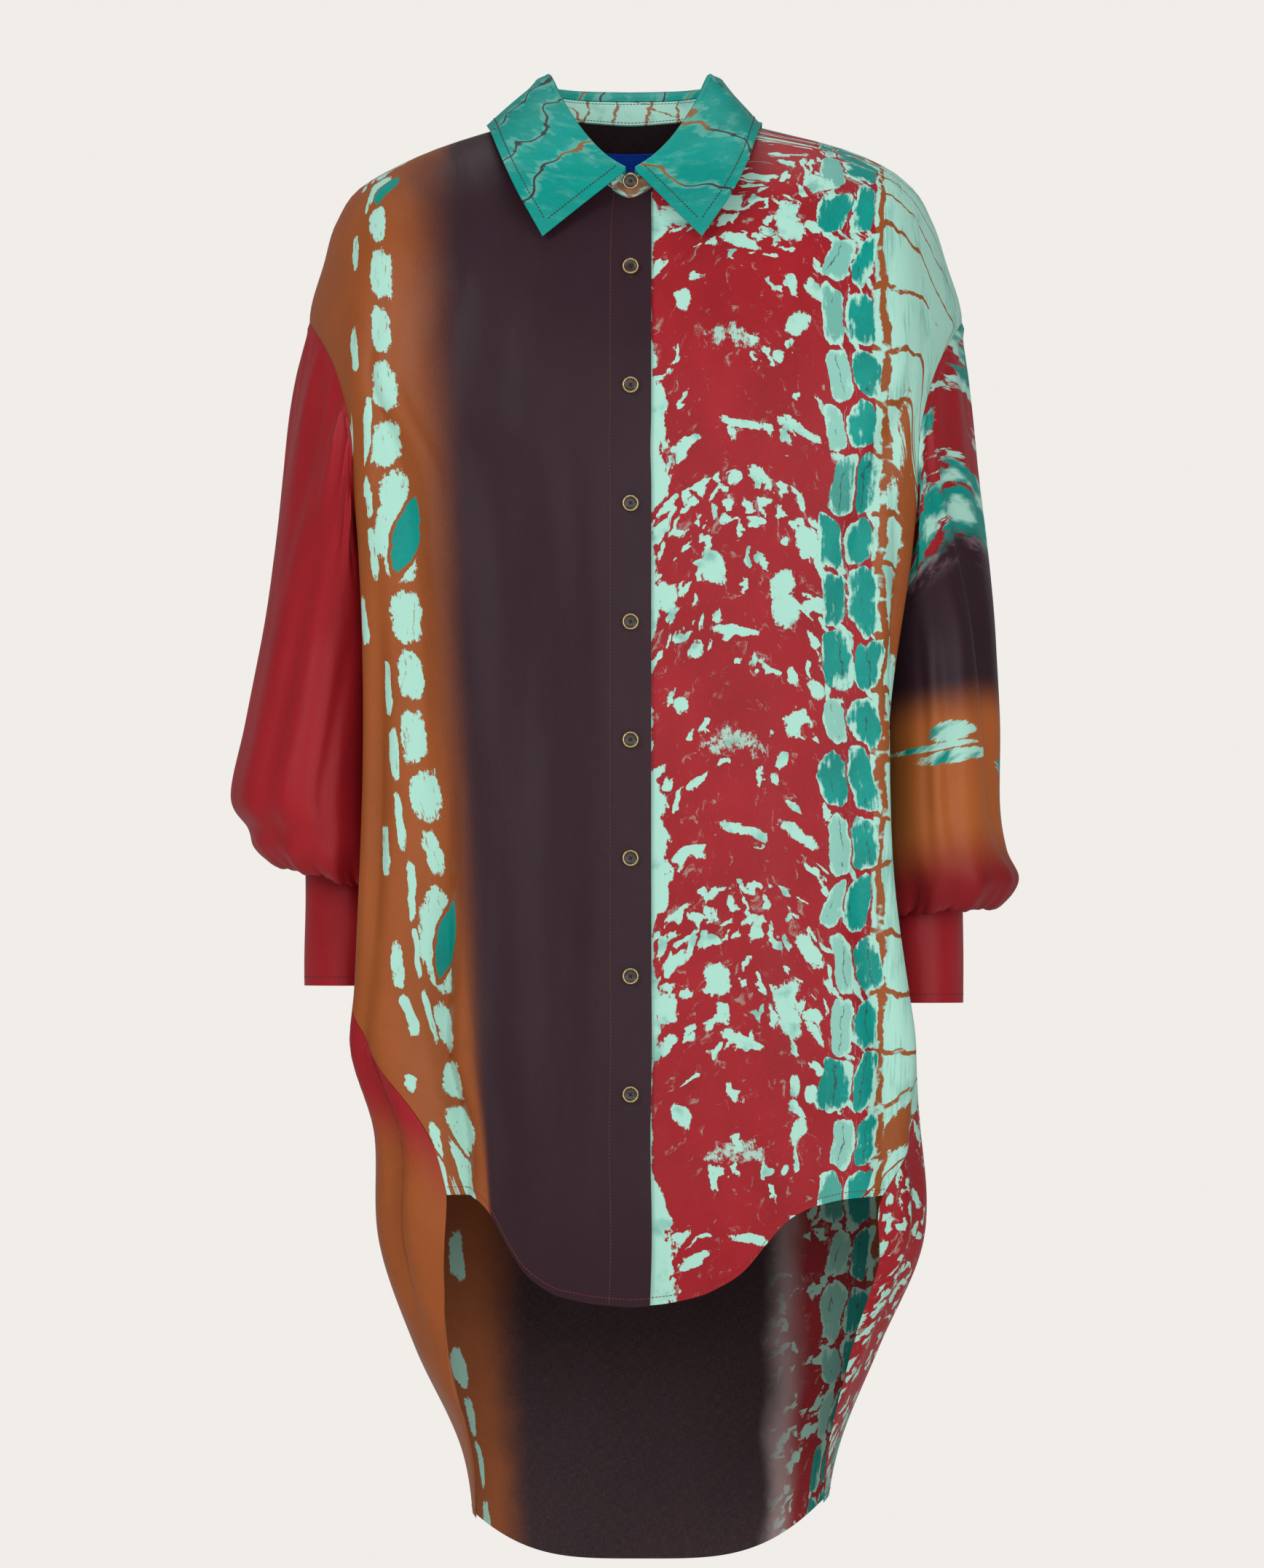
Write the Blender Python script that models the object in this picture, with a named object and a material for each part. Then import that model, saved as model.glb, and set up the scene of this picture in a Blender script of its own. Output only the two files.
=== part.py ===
"""A long silk shirt, filled out as if worn: two fronts, a longer back, full sleeves gathered
into deep cuffs, a stand-and-fall collar, a bare neck label and nine buttons.

Metres, +Z up. The wearer faces -Y, so the wearer's right is -X. The origin lies between the
two shoulder points of the neck, where the shirt rests on whoever wears it."""

import math
from collections import namedtuple

import bmesh
import bpy
import numpy as np
from mathutils import Vector
from mathutils.bvhtree import BVHTree

# Cloth and seams
WALL = 0.0015               # thickness of the cloth's solid
SEAM = 0.0006               # room between pieces that are sewn together
TURN_AT_NECK, TURN_ON_TRUNK = 0.035, 0.075  # about how long one turn is, for the seams' room
CLEAR = 0.0035              # room between pieces that only lie beside each other

# The trunk is read at places (turn, drop). Turn goes round it: 0 at the centre front, 4 at the
# wearer's left side, 8 at the centre back, 12 at the right side. Drop is how far the side of
# that ring lies below the neck point.
LEFT, BACK, RIGHT, ROUND = 4, 8, 12, 16
NORMAL_STEP = (0.01, 0.001)  # the step in turn and in drop over which a normal is taken

# Each ring: heights at the centre front and back, half widths, depths from the origin's
# plane, the share of the half width kept where the front turns into the side, how boxy the
# ring is, and how far its side is pinched in under the arm.
Ring = namedtuple("Ring", "drop front_z back_z right left front_y back_y edge box pinch")
TRUNK = (
    Ring(0.000, -0.063, -0.006, 0.068, 0.066, 0.078, 0.062, 0.95, 0.00, 0.00),
    Ring(0.010, -0.080, -0.022, 0.104, 0.107, 0.090, 0.076, 0.95, 0.10, 0.00),
    Ring(0.022, -0.099, -0.044, 0.142, 0.155, 0.101, 0.092, 0.95, 0.22, 0.00),
    Ring(0.036, -0.121, -0.068, 0.175, 0.190, 0.110, 0.108, 0.94, 0.34, 0.00),
    Ring(0.052, -0.143, -0.092, 0.203, 0.212, 0.118, 0.120, 0.93, 0.46, 0.00),
    Ring(0.078, -0.167, -0.120, 0.222, 0.228, 0.125, 0.131, 0.92, 0.58, 0.00),
    Ring(0.110, -0.192, -0.156, 0.232, 0.239, 0.130, 0.140, 0.91, 0.68, 0.00),
    Ring(0.155, -0.222, -0.203, 0.243, 0.251, 0.134, 0.146, 0.89, 0.78, 0.00),
    Ring(0.240, -0.275, -0.265, 0.211, 0.219, 0.139, 0.150, 1.00, 0.92, 0.04),
    Ring(0.330, -0.340, -0.336, 0.205, 0.214, 0.141, 0.155, 1.00, 1.00, 0.15),
    Ring(0.450, -0.450, -0.450, 0.202, 0.205, 0.142, 0.160, 1.00, 1.00, 0.27),
    Ring(0.600, -0.600, -0.600, 0.206, 0.204, 0.145, 0.165, 1.00, 1.00, 0.22),
    Ring(0.660, -0.660, -0.660, 0.209, 0.210, 0.145, 0.166, 1.00, 1.00, 0.22),
    Ring(0.700, -0.700, -0.700, 0.212, 0.217, 0.145, 0.166, 1.00, 1.00, 0.14),
    Ring(0.770, -0.770, -0.770, 0.190, 0.216, 0.144, 0.166, 1.00, 0.95, 0.00),
    Ring(0.850, -0.850, -0.850, 0.188, 0.219, 0.140, 0.165, 0.99, 0.88, 0.00),
    Ring(0.930, -0.930, -0.930, 0.163, 0.188, 0.122, 0.160, 0.97, 0.80, 0.00),
    Ring(1.010, -1.010, -1.010, 0.1275, 0.157, 0.100, 0.152, 0.95, 0.70, 0.00),
    Ring(1.100, -1.100, -1.100, 0.116, 0.144, 0.080, 0.140, 0.95, 0.60, 0.00),
)

# Folds, from (turn, drop) to (turn, drop). Each is a trough, whose half width in turns differs
# on the side of the lower turn (`before`) and of the higher one (`after`), so that a narrow side
# stands up like the edge of a pleat. A ridge has a depth below zero.
Fold = namedtuple("Fold", "turn drop end_turn end_drop before after depth")
FOLDS = (
    Fold(14.22, 0.46, 14.28, 0.94, 0.42, 0.13, 0.024),
    Fold(13.39, 0.28, 13.35, 0.76, 0.20, 0.16, 0.010),
    Fold(13.22, 0.62, 13.20, 0.96, 0.16, 0.18, 0.014),
    Fold(13.60, 0.06, 14.05, 0.60, 0.26, 0.22, 0.006),
    Fold(14.75, 0.05, 14.90, 0.56, 0.26, 0.26, 0.005),
    Fold(15.25, 0.20, 15.30, 0.86, 0.24, 0.28, 0.004),
    Fold(2.55, 0.22, 3.12, 0.66, 0.15, 0.32, 0.015),
    Fold(2.75, 0.10, 1.85, 0.44, 0.24, 0.26, 0.005),
    Fold(1.35, 0.26, 1.60, 0.88, 0.26, 0.26, 0.004),
    Fold(2.30, 0.50, 2.55, 0.92, 0.22, 0.26, 0.008),
    Fold(3.05, 0.66, 3.05, 1.00, 0.18, 0.18, 0.009),
    Fold(6.60, 0.10, 6.30, 0.92, 0.30, 0.30, 0.009),
    Fold(7.50, 0.14, 7.45, 1.02, 0.28, 0.28, 0.006),
    Fold(8.60, 0.16, 8.75, 1.02, 0.30, 0.28, 0.007),
    Fold(9.60, 0.10, 9.85, 0.90, 0.30, 0.30, 0.010),
    Fold(5.30, 0.26, 5.15, 0.86, 0.26, 0.26, 0.009),
    Fold(10.75, 0.28, 10.90, 0.86, 0.26, 0.26, 0.009),
)

# The armhole is an oval cut round the trunk's side.
HOLE_TOP, HOLE_FOOT, HOLE_REACH = 0.155, 0.330, 1.05

# The side seams below the armholes, as turns away from the centre front. They swing forward
# low down, where the back wraps round, and the fronts end at the last row.
SeamPoint = namedtuple("SeamPoint", "drop turns")
RIGHT_SEAM = tuple(SeamPoint(*row) for row in (
    (0.330, 4.00), (0.550, 4.00), (0.620, 3.60), (0.675, 3.00), (0.717, 2.55),
    (0.767, 2.20), (0.8145, 1.98)))
LEFT_SEAM = tuple(SeamPoint(*row) for row in (
    (0.330, 4.00), (0.620, 4.00), (0.700, 3.60), (0.769, 3.00), (0.800, 2.60),
    (0.8145, 2.40)))
# The back's free edges go on from there, down to its hem.
RIGHT_EDGE = RIGHT_SEAM + tuple(SeamPoint(*row) for row in (
    (0.870, 2.05), (0.930, 2.35), (0.985, 2.80), (1.035, 3.20)))
LEFT_EDGE = LEFT_SEAM + tuple(SeamPoint(*row) for row in (
    (0.870, 2.42), (0.930, 2.52), (0.985, 2.80), (1.035, 3.20)))

# Hems: the fronts dip from their side ends to the centre, and the back hangs lowest behind.
FRONT_HEM_SIDE = 0.8145
HemPoint = namedtuple("HemPoint", "x drop")
RIGHT_HEM = tuple(HemPoint(*row) for row in (
    (0.000, 0.8985), (0.045, 0.8940), (0.077, 0.8860), (0.098, 0.8700), (0.110, 0.8500),
    (0.120, 0.8320), (0.131, 0.8200), (0.142, FRONT_HEM_SIDE)))
LEFT_HEM = tuple(HemPoint(*row) for row in (
    (0.000, 0.8985), (0.035, 0.8950), (0.068, 0.8850), (0.090, 0.8690), (0.102, 0.8520),
    (0.115, 0.8360), (0.130, 0.8260), (0.150, 0.8195), (0.191, FRONT_HEM_SIDE)))
BACK_HEM, BACK_HEM_RISE, BACK_HEM_HALF, BACK_HEM_CENTRE = 1.0943, 0.048, 0.140, 0.009
BACK_HEM_POWER = 3.6

# The front opening
PLACKET_HALF = 0.0153       # each front passes the centre by this much
LAP = 0.0013                # the right front stands out by this, the left sits in by it
LAP_HOLD, LAP_REACH = 0.25, 0.9  # turns over which the lap holds, and then fades out

# Rows and columns of the panels
SHOULDER_DROPS = (0.0, 0.010, 0.022, 0.036, 0.052, 0.078, 0.110)
HOLE_STEPS = 10
SEAM_STEPS, BACK_EDGE_STEPS = 11, 4
FRONT_COLUMNS, BACK_COLUMNS = 18, 24
HOLE_SPREAD, FRONT_SWING_SPREAD, BACK_SWING_SPREAD = 3.0, 1.5, 4.0
TREE_COLUMNS, TREE_ROWS = 97, 90  # of the grid that the sleeves and the collar keep clear of

# Sleeves. `height` and `inner_height` are for the outer and inner side of each ring, `out` and
# `into` are distances from the centre plane, and `fore` and `aft` are how far it reaches in Y.
SLEEVE_COLUMNS, SLEEVE_HEAD_ROWS, SLEEVE_LOW_ROWS = 4 * HOLE_STEPS, 6, 11
SleeveRing = namedtuple("SleeveRing", "height inner_height out into fore aft")
RIGHT_SLEEVE = (
    SleeveRing(-0.400, -0.410, 0.281, 0.178, -0.067, 0.090),
    SleeveRing(-0.460, -0.462, 0.293, 0.180, -0.069, 0.093),
    SleeveRing(-0.514, -0.515, 0.3035, 0.181, -0.071, 0.095),
    SleeveRing(-0.538, -0.548, 0.290, 0.180, -0.069, 0.094),
    SleeveRing(-0.552, -0.576, 0.284, 0.181, -0.066, 0.092),
    SleeveRing(-0.565, -0.589, 0.268, 0.184, -0.054, 0.080),
    SleeveRing(-0.562, -0.574, 0.255, 0.186, -0.037, 0.060),
    SleeveRing(-0.5535, -0.5535, 0.2475, 0.1865, -0.0285, 0.0505),
)
LEFT_SLEEVE = (
    SleeveRing(-0.400, -0.410, 0.277, 0.183, -0.067, 0.090),
    SleeveRing(-0.460, -0.462, 0.280, 0.184, -0.069, 0.093),
    SleeveRing(-0.520, -0.522, 0.280, 0.185, -0.071, 0.095),
    SleeveRing(-0.553, -0.560, 0.285, 0.184, -0.071, 0.094),
    SleeveRing(-0.577, -0.590, 0.293, 0.185, -0.066, 0.092),
    SleeveRing(-0.597, -0.605, 0.277, 0.188, -0.054, 0.080),
    SleeveRing(-0.588, -0.592, 0.261, 0.191, -0.037, 0.060),
    SleeveRing(-0.5665, -0.5665, 0.2525, 0.1915, -0.0285, 0.0505),
)
# The sleeve leaves the armhole outwards by the flare for each unit down, less under the arm.
RIGHT_FLARE, LEFT_FLARE, UNDERARM_FLARE = 0.26, 0.07, 0.075
HEAD_SPREAD, HEAD_PULL = 0.10, 1.05
SLEEVE_FREE = 0.06          # share of its length after which it keeps the full room
# Gathers: a wave round the sleeve, its depth, where along the sleeve it is deepest, how far
# that reaches, and where it has faded out.
Gather = namedtuple("Gather", "depth place reach end fade")
GATHERS = SLEEVE_COLUMNS // 4
HEAD_GATHER = Gather(0.0022, 0.10, 0.09, 0.00, 0.05)
CUFF_GATHER = Gather(0.0042, 0.72, 0.10, 0.90, -0.08)

# Folds down a sleeve: angle from the outermost point towards the front, and share of length.
SleeveFold = namedtuple("SleeveFold", "angle start end_angle end width depth")
RIGHT_SLEEVE_FOLDS = (
    SleeveFold(1.15, 0.12, 0.80, 0.72, 0.22, 0.007),
    SleeveFold(0.35, 0.18, 0.30, 0.66, 0.20, 0.005),
    SleeveFold(-0.60, 0.10, -0.50, 0.70, 0.26, 0.009),
    SleeveFold(-1.50, 0.14, -1.20, 0.70, 0.24, 0.007),
)
LEFT_SLEEVE_FOLDS = (
    SleeveFold(0.95, 0.04, 0.25, 0.72, 0.17, 0.009),
    SleeveFold(1.50, 0.20, 1.25, 0.72, 0.22, 0.006),
    SleeveFold(-0.70, 0.10, -0.40, 0.70, 0.26, 0.009),
    SleeveFold(-1.60, 0.14, -1.30, 0.70, 0.24, 0.007),
)

# Cuffs: centre and half sizes of the oval, then the heights of its ends.
Cuff = namedtuple("Cuff", "centre_x centre_y half_x half_y top foot")
RIGHT_CUFF = Cuff(0.2170, 0.0110, 0.0300, 0.0390, -0.5550, -0.6570)
LEFT_CUFF = Cuff(0.2220, 0.0110, 0.0300, 0.0390, -0.5680, -0.6700)
CUFF_COLUMNS, CUFF_ROWS = 28, 2

# The collar, half way round from the front: `turns` from the centre front, how far the top of
# the stand leans out from the neck seam, its height, the height of the fold, and where the
# fall's edge lies. Its first row is the point of the collar.
Collar = namedtuple("Collar", "turns lean stand fold edge_right edge_left edge_y edge_z")
COLLAR = (
    Collar(0.12, 0.0050, -0.0430, -0.0360, 0.0664, 0.0538, -0.1060, -0.0915),
    Collar(0.55, 0.0025, -0.0355, -0.0288, 0.0745, 0.0638, -0.1045, -0.0770),
    Collar(1.00, 0.0000, -0.0248, -0.0187, 0.0830, 0.0740, -0.1020, -0.0620),
    Collar(2.00, -0.0035, 0.0025, 0.0090, 0.0960, 0.0880, -0.0820, -0.0350),
    Collar(3.00, -0.0050, 0.0240, 0.0300, 0.1050, 0.0955, -0.0460, -0.0130),
    Collar(4.00, -0.0060, 0.0260, 0.0315, 0.1085, 0.0990, 0.0040, -0.0065),
    Collar(5.00, 0.0030, 0.0215, 0.0285, 0.1000, 0.0960, 0.0500, -0.0150),
    Collar(6.00, 0.0095, 0.0160, 0.0240, 0.0780, 0.0780, 0.0860, -0.0270),
    Collar(7.00, 0.0140, 0.0130, 0.0212, 0.0430, 0.0430, 0.1050, -0.0330),
    Collar(8.00, 0.0160, 0.0125, 0.0205, 0.0000, 0.0000, 0.1110, -0.0350),
)
COLLAR_COLUMNS, COLLAR_FALL_ROWS = 32, 4
ROLL = 0.0028               # half the width of the roll over the stand
FALL_BULGE = 0.0012         # how far the fall bows out between its roll and its edge
BAND_ROWS = 2
BAND_GAP = 0.0010           # room between the stand's foot and the panels' neck edge
BAND_END_DROP = 0.018       # how fast the top of a stand's end falls past the centre
FALL_GAP = 0.0010           # room between the stand's top and the start of the fall
FALL_UP, FALL_TURN = 0.60, 0.55  # shares of the climb to the fold where its rows lie

# The neck label
LABEL_WIDTH, LABEL_TOP, LABEL_FOOT, LABEL_THICK = 0.055, 0.0145, 0.0345, 0.0008
LABEL_COLUMNS, LABEL_ROWS = 6, 3

# Buttons
BUTTON_RADIUS, BUTTON_HEIGHT, BUTTON_RIM = 0.00625, 0.0030, 0.0011
FIRST_BUTTON, BUTTON_SPACING, BUTTON_COUNT = -0.115, 0.089, 8
COLLAR_BUTTON_Z = -0.0485
BUTTON_GAP = 0.0007
BUTTON_SIDES = 18
# A button's section: shares of its radius, of its rim's width and of its height
BUTTON_BACK, BUTTON_EDGE, RIM_TOP, RIM_FALL, BUTTON_FLOOR = 0.8, 0.4, 0.4, 0.92, 0.62
RIM_SLOPE = 0.0005          # width of the slope from the rim to the sunk middle


# Curves

def smooth_read(knots, values, at):
    """A smooth curve through values, the knots first, read at each place in `at`."""
    knots = np.asarray(knots, float)
    values = np.asarray(values, float)
    at = np.clip(at, knots[0], knots[-1])
    slopes = np.gradient(values, knots, axis=0)
    i = np.clip(np.searchsorted(knots, at, side="right") - 1, 0, len(knots) - 2)
    step = knots[i + 1] - knots[i]
    t = (at - knots[i]) / step
    shape = np.shape(at) + (1,) * (values.ndim - 1)
    t, step = t.reshape(shape), step.reshape(shape)
    return ((2 * t**3 - 3 * t**2 + 1) * values[i] + (t**3 - 2 * t**2 + t) * step * slopes[i]
            + (3 * t**2 - 2 * t**3) * values[i + 1] + (t**3 - t**2) * step * slopes[i + 1])


def smooth_step(t):
    t = np.clip(t, 0, 1)
    return t * t * (3 - 2 * t)


def mix(a, b, share):
    return a + (b - a) * share


# The trunk's surface

def stations(ring):
    """Sixteen points round a ring of the trunk, from the centre front by the left side."""
    box = ring.box
    across = (0, 0.42, 0.76, ring.edge, 1 - ring.pinch)
    depth = (1, mix(0.907, 0.985, box), mix(0.65, 0.90, box), mix(0.31, 0.68, box))
    height = (1, mix(0.70, 0.92, box), mix(0.33, 0.70, box), mix(0.08, 0.30, box), 0)
    middle = (ring.back_y - ring.front_y) / 2

    def quarter(half, y, z):
        """The five stations from the centre line to one side."""
        return [(half * across[i], y * depth[i] if i < 4 else middle,
                 mix(-ring.drop, z, height[i])) for i in range(5)]

    left_front = quarter(ring.left, -ring.front_y, ring.front_z)
    left_back = quarter(ring.left, ring.back_y, ring.back_z)
    right_front = quarter(-ring.right, -ring.front_y, ring.front_z)
    right_back = quarter(-ring.right, ring.back_y, ring.back_z)
    return left_front + left_back[3::-1] + right_back[1:] + right_front[3:0:-1]


DROPS = np.array([ring.drop for ring in TRUNK])
STATIONS = np.array([stations(ring) for ring in TRUNK])


def plain_trunk(turn, drop):
    """The trunk without its folds."""
    turn = np.asarray(turn, float)
    rings = smooth_read(DROPS, STATIONS, np.asarray(drop, float))
    start = np.floor(turn).astype(int)
    t = (turn - start)[..., None]
    before, here, after, beyond = (
        np.take_along_axis(rings, ((start + k) % ROUND)[..., None, None], axis=-2)[..., 0, :]
        for k in (-1, 0, 1, 2))
    return 0.5 * (2 * here + (after - before) * t
                  + (2 * before - 5 * here + 4 * after - beyond) * t**2
                  + (3 * here - before - 3 * after + beyond) * t**3)


def unit(vectors):
    return vectors / np.linalg.norm(vectors, axis=-1, keepdims=True)


def outward(surface, turn, drop):
    """The unit normal of a surface of (turn, drop), pointing out of the trunk."""
    d_turn, d_drop = NORMAL_STEP
    drop = np.clip(drop, d_drop, None)
    along = surface(turn + d_turn, drop) - surface(turn - d_turn, drop)
    down = surface(turn, drop + d_drop) - surface(turn, drop - d_drop)
    return unit(np.cross(down, along))


def fold_depth(turn, drop):
    """How far the folds pull the cloth in at each place."""
    total = np.zeros(np.broadcast(turn, drop).shape)
    for fold in FOLDS:
        share = (drop - fold.drop) / (fold.end_drop - fold.drop)
        centre = mix(fold.turn, fold.end_turn, share)
        aside = (turn - centre + ROUND / 2) % ROUND - ROUND / 2
        width = np.where(aside < 0, fold.before, fold.after)
        fade = np.sin(np.pi * np.clip(share, 0, 1)) ** 1.5
        total = total + fold.depth * fade * np.exp(-(aside / width) ** 2)
    return total


def trunk(turn, drop):
    turn, drop = np.broadcast_arrays(np.asarray(turn, float), np.asarray(drop, float))
    inward = -outward(plain_trunk, turn, drop)
    return plain_trunk(turn, drop) + inward * fold_depth(turn, drop)[..., None]


def half_width(drop):
    return smooth_read(DROPS, [(ring.right + ring.left) / 2 for ring in TRUNK], drop)


def turns_across(distance, drop):
    """Turns that cover a distance along the front or back, beside the centre line."""
    return distance / (0.42 * half_width(drop))


# The panels' edges

def hole_turns(drop):
    """How far round from the side the armhole reaches at this drop."""
    share = (drop - HOLE_TOP) / (HOLE_FOOT - HOLE_TOP)
    return HOLE_REACH * np.sqrt(np.clip(1 - (2 * share - 1) ** 2, 0, 1))


def seam_turns(seam, drop):
    """Turns from the centre front to the side seam, 4 above the first row."""
    return smooth_read([p.drop for p in seam], [p.turns for p in seam], drop)


def front_hem(points):
    return lambda x: smooth_read([p.x for p in points], [p.drop for p in points], np.abs(x))


def back_hem(x):
    aside = np.abs((x - BACK_HEM_CENTRE) / BACK_HEM_HALF)
    return BACK_HEM - BACK_HEM_RISE * aside ** BACK_HEM_POWER


def hole_drops():
    """Where the rows meet the armhole, and where the same rows lie away from it."""
    steps = np.linspace(0, 1, HOLE_STEPS + 1)
    return mix(HOLE_TOP, HOLE_FOOT, (1 - np.cos(np.pi * steps)) / 2), mix(
        HOLE_TOP, HOLE_FOOT, steps)


# A panel's side: its turn at a drop where it runs straight, how far it swings from there, over
# how much of the panel the swing fades, which way the panel lies, and whether it is sewn.
Side = namedtuple("Side", "home swing spread inside sewn")


def seam_drops():
    """Where the rows of both panels meet the side seam."""
    return np.linspace(HOLE_FOOT, FRONT_HEM_SIDE, SEAM_STEPS + 1)[1:]


def panel_places(sides, side_drops, hem, columns):
    """Rows of (turn, drop) for a panel between two sides. `hem` gives the lowest drop for an
    x, and `side_drops` are where the rows below the armhole meet the panel's sides."""
    shares = np.linspace(0, 1, columns + 1)
    nearness = (1 - shares, shares)

    def turns_at(drop):
        row = mix(sides[0].home(drop), sides[1].home(drop), shares)
        for side, near in zip(sides, nearness):
            row = row + side.swing(drop) * near ** side.spread
            if side.sewn:
                hole = hole_turns(drop) + seam_gap(drop)
                row = row + side.inside * hole * near ** HOLE_SPREAD
        return row

    turns = [turns_at(drop) for drop in SHOULDER_DROPS]
    drops = [np.full(columns + 1, drop) for drop in SHOULDER_DROPS]
    by_hole = sum(near ** HOLE_SPREAD * side.sewn for side, near in zip(sides, nearness))
    for at_hole, away in zip(*hole_drops()):
        turns.append(turns_at(at_hole))
        drops.append(mix(away, at_hole, by_hole))
    end = side_drops[-1]
    end_drops = hem(plain_trunk(turns_at(end), np.full(columns + 1, end))[:, 0])
    for column, side in zip((0, -1), sides):
        if side.sewn:
            end_drops[column] = end
    for side_drop in side_drops:
        share = (side_drop - HOLE_FOOT) / (end - HOLE_FOOT)
        turns.append(turns_at(side_drop))
        drops.append(mix(HOLE_FOOT, end_drops, share))
    return np.array(turns), np.array(drops)


def seam_gap(drop):
    """Half the room at a seam, in turns: a unit of turn is longer low on the trunk."""
    return SEAM / 2 / mix(TURN_AT_NECK, TURN_ON_TRUNK, np.clip(drop / SHOULDER_DROPS[-1], 0, 1))


def lapped(turn, drop, way):
    """Points of a front, standing out or sitting in near the centre by the lap."""
    aside = np.abs((turn + ROUND / 2) % ROUND - ROUND / 2)
    shift = way * LAP * (1 - smooth_step((aside - LAP_HOLD) / LAP_REACH))
    return trunk(turn, drop) + outward(plain_trunk, turn, drop) * shift[..., None]


# Meshes

def material(name, colour, roughness, metallic=0.0):
    made = bpy.data.materials.new(name)
    made.use_nodes = True
    shader = made.node_tree.nodes["Principled BSDF"]
    shader.inputs["Base Color"].default_value = (*colour, 1)
    shader.inputs["Roughness"].default_value = roughness
    shader.inputs["Metallic"].default_value = metallic
    return made


def finish(name, mesh_maker, surface):
    """Makes the object of a bmesh, smooth but for its sharp rims."""
    bmesh.ops.triangulate(mesh_maker, faces=mesh_maker.faces, quad_method="SHORT_EDGE")
    bmesh.ops.recalc_face_normals(mesh_maker, faces=mesh_maker.faces)
    mesh = bpy.data.meshes.new(name)
    mesh_maker.to_mesh(mesh)
    mesh_maker.free()
    mesh.shade_smooth()
    mesh.set_sharp_from_angle(angle=math.radians(50))
    mesh.materials.append(surface)
    made = bpy.data.objects.new(name, mesh)
    bpy.context.collection.objects.link(made)
    return made


def cloth(name, outer, inner, surface, closed=False):
    """A wall between two grids of points, rows first. Closed rings make a tube."""
    rows, columns = outer.shape[:2]
    maker = bmesh.new()
    faces = [[[maker.verts.new(p) for p in row] for row in grid] for grid in (outer, inner)]
    last = columns if closed else columns - 1
    for i in range(rows - 1):
        for j in range(last):
            k = (j + 1) % columns
            for side in faces:
                maker.faces.new((side[i][j], side[i][k], side[i + 1][k], side[i + 1][j]))
    out, into = faces
    for i in (0, rows - 1):
        for j in range(last):
            k = (j + 1) % columns
            maker.faces.new((out[i][j], out[i][k], into[i][k], into[i][j]))
    if not closed:
        for j in (0, columns - 1):
            for i in range(rows - 1):
                maker.faces.new((out[i][j], out[i + 1][j], into[i + 1][j], into[i][j]))
    return finish(name, maker, surface)


def grid_normals(points, closed):
    """Unit normals of a grid of points, rows first: across the row, then down the column."""
    if closed:
        across = np.roll(points, -1, axis=1) - np.roll(points, 1, axis=1)
    else:
        across = np.gradient(points, axis=1)
    down = np.gradient(points, axis=0)
    return unit(np.cross(down, across))


def tree_of(points):
    """A tree of a grid's faces, for finding how near a point is to it."""
    rows, columns = points.shape[:2]
    corners = [Vector(p) for p in points.reshape(-1, 3)]
    quads = [(i * columns + j, (i + 1) * columns + j, (i + 1) * columns + j + 1,
              i * columns + j + 1) for i in range(rows - 1) for j in range(columns - 1)]
    return BVHTree.FromPolygons(corners, quads)


def kept_clear(points, tree, room):
    """Points moved out of the trunk until each is at least its `room` away from it."""
    moved = points.copy()
    for _ in range(3):
        for index in np.ndindex(points.shape[:2]):
            place = Vector(moved[index])
            near, out, _, _ = tree.find_nearest(place)
            height = (place - near).dot(out)
            if height < room[index]:
                moved[index] = place + out * (room[index] - height)
    return moved


# The pieces

AUBERGINE, RUST, RED = (0.040, 0.020, 0.026), (0.255, 0.070, 0.018), (0.330, 0.016, 0.022)
TURQUOISE, MINT, BLUE = (0.010, 0.340, 0.250), (0.380, 0.680, 0.560), (0.008, 0.075, 0.680)
BRASS = (0.420, 0.330, 0.190)
SILK = 0.42


def make_front(name, seam, hem, right, surface):
    """One front. The right one covers the left where they cross the centre."""
    way = 1 if right else -1
    centre = Side(lambda drop: -turns_across(PLACKET_HALF, drop), lambda drop: 0, 1, 1, False)
    side = Side(lambda drop: LEFT, lambda drop: seam_turns(seam, drop) - LEFT,
                FRONT_SWING_SPREAD, -1, True)
    turns, drops = panel_places((centre, side), seam_drops(), front_hem(hem), FRONT_COLUMNS)
    if right:
        turns = ROUND - turns
    outer = lapped(turns, drops, way)
    inner = outer - outward(trunk, turns, drops) * WALL
    cloth(name, outer, inner, surface)


def make_back(surface):
    left = Side(lambda drop: LEFT, lambda drop: seam_turns(LEFT_EDGE, drop) - LEFT,
                BACK_SWING_SPREAD, 1, True)
    right = Side(lambda drop: RIGHT, lambda drop: LEFT - seam_turns(RIGHT_EDGE, drop),
                 BACK_SWING_SPREAD, -1, True)
    free = np.linspace(FRONT_HEM_SIDE, RIGHT_EDGE[-1].drop, BACK_EDGE_STEPS + 1)[1:]
    turns, drops = panel_places((left, right), np.concatenate([seam_drops(), free]),
                                back_hem, BACK_COLUMNS)
    outer = trunk(turns, drops)
    cloth("back", outer, outer - outward(trunk, turns, drops) * WALL, surface)


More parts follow.
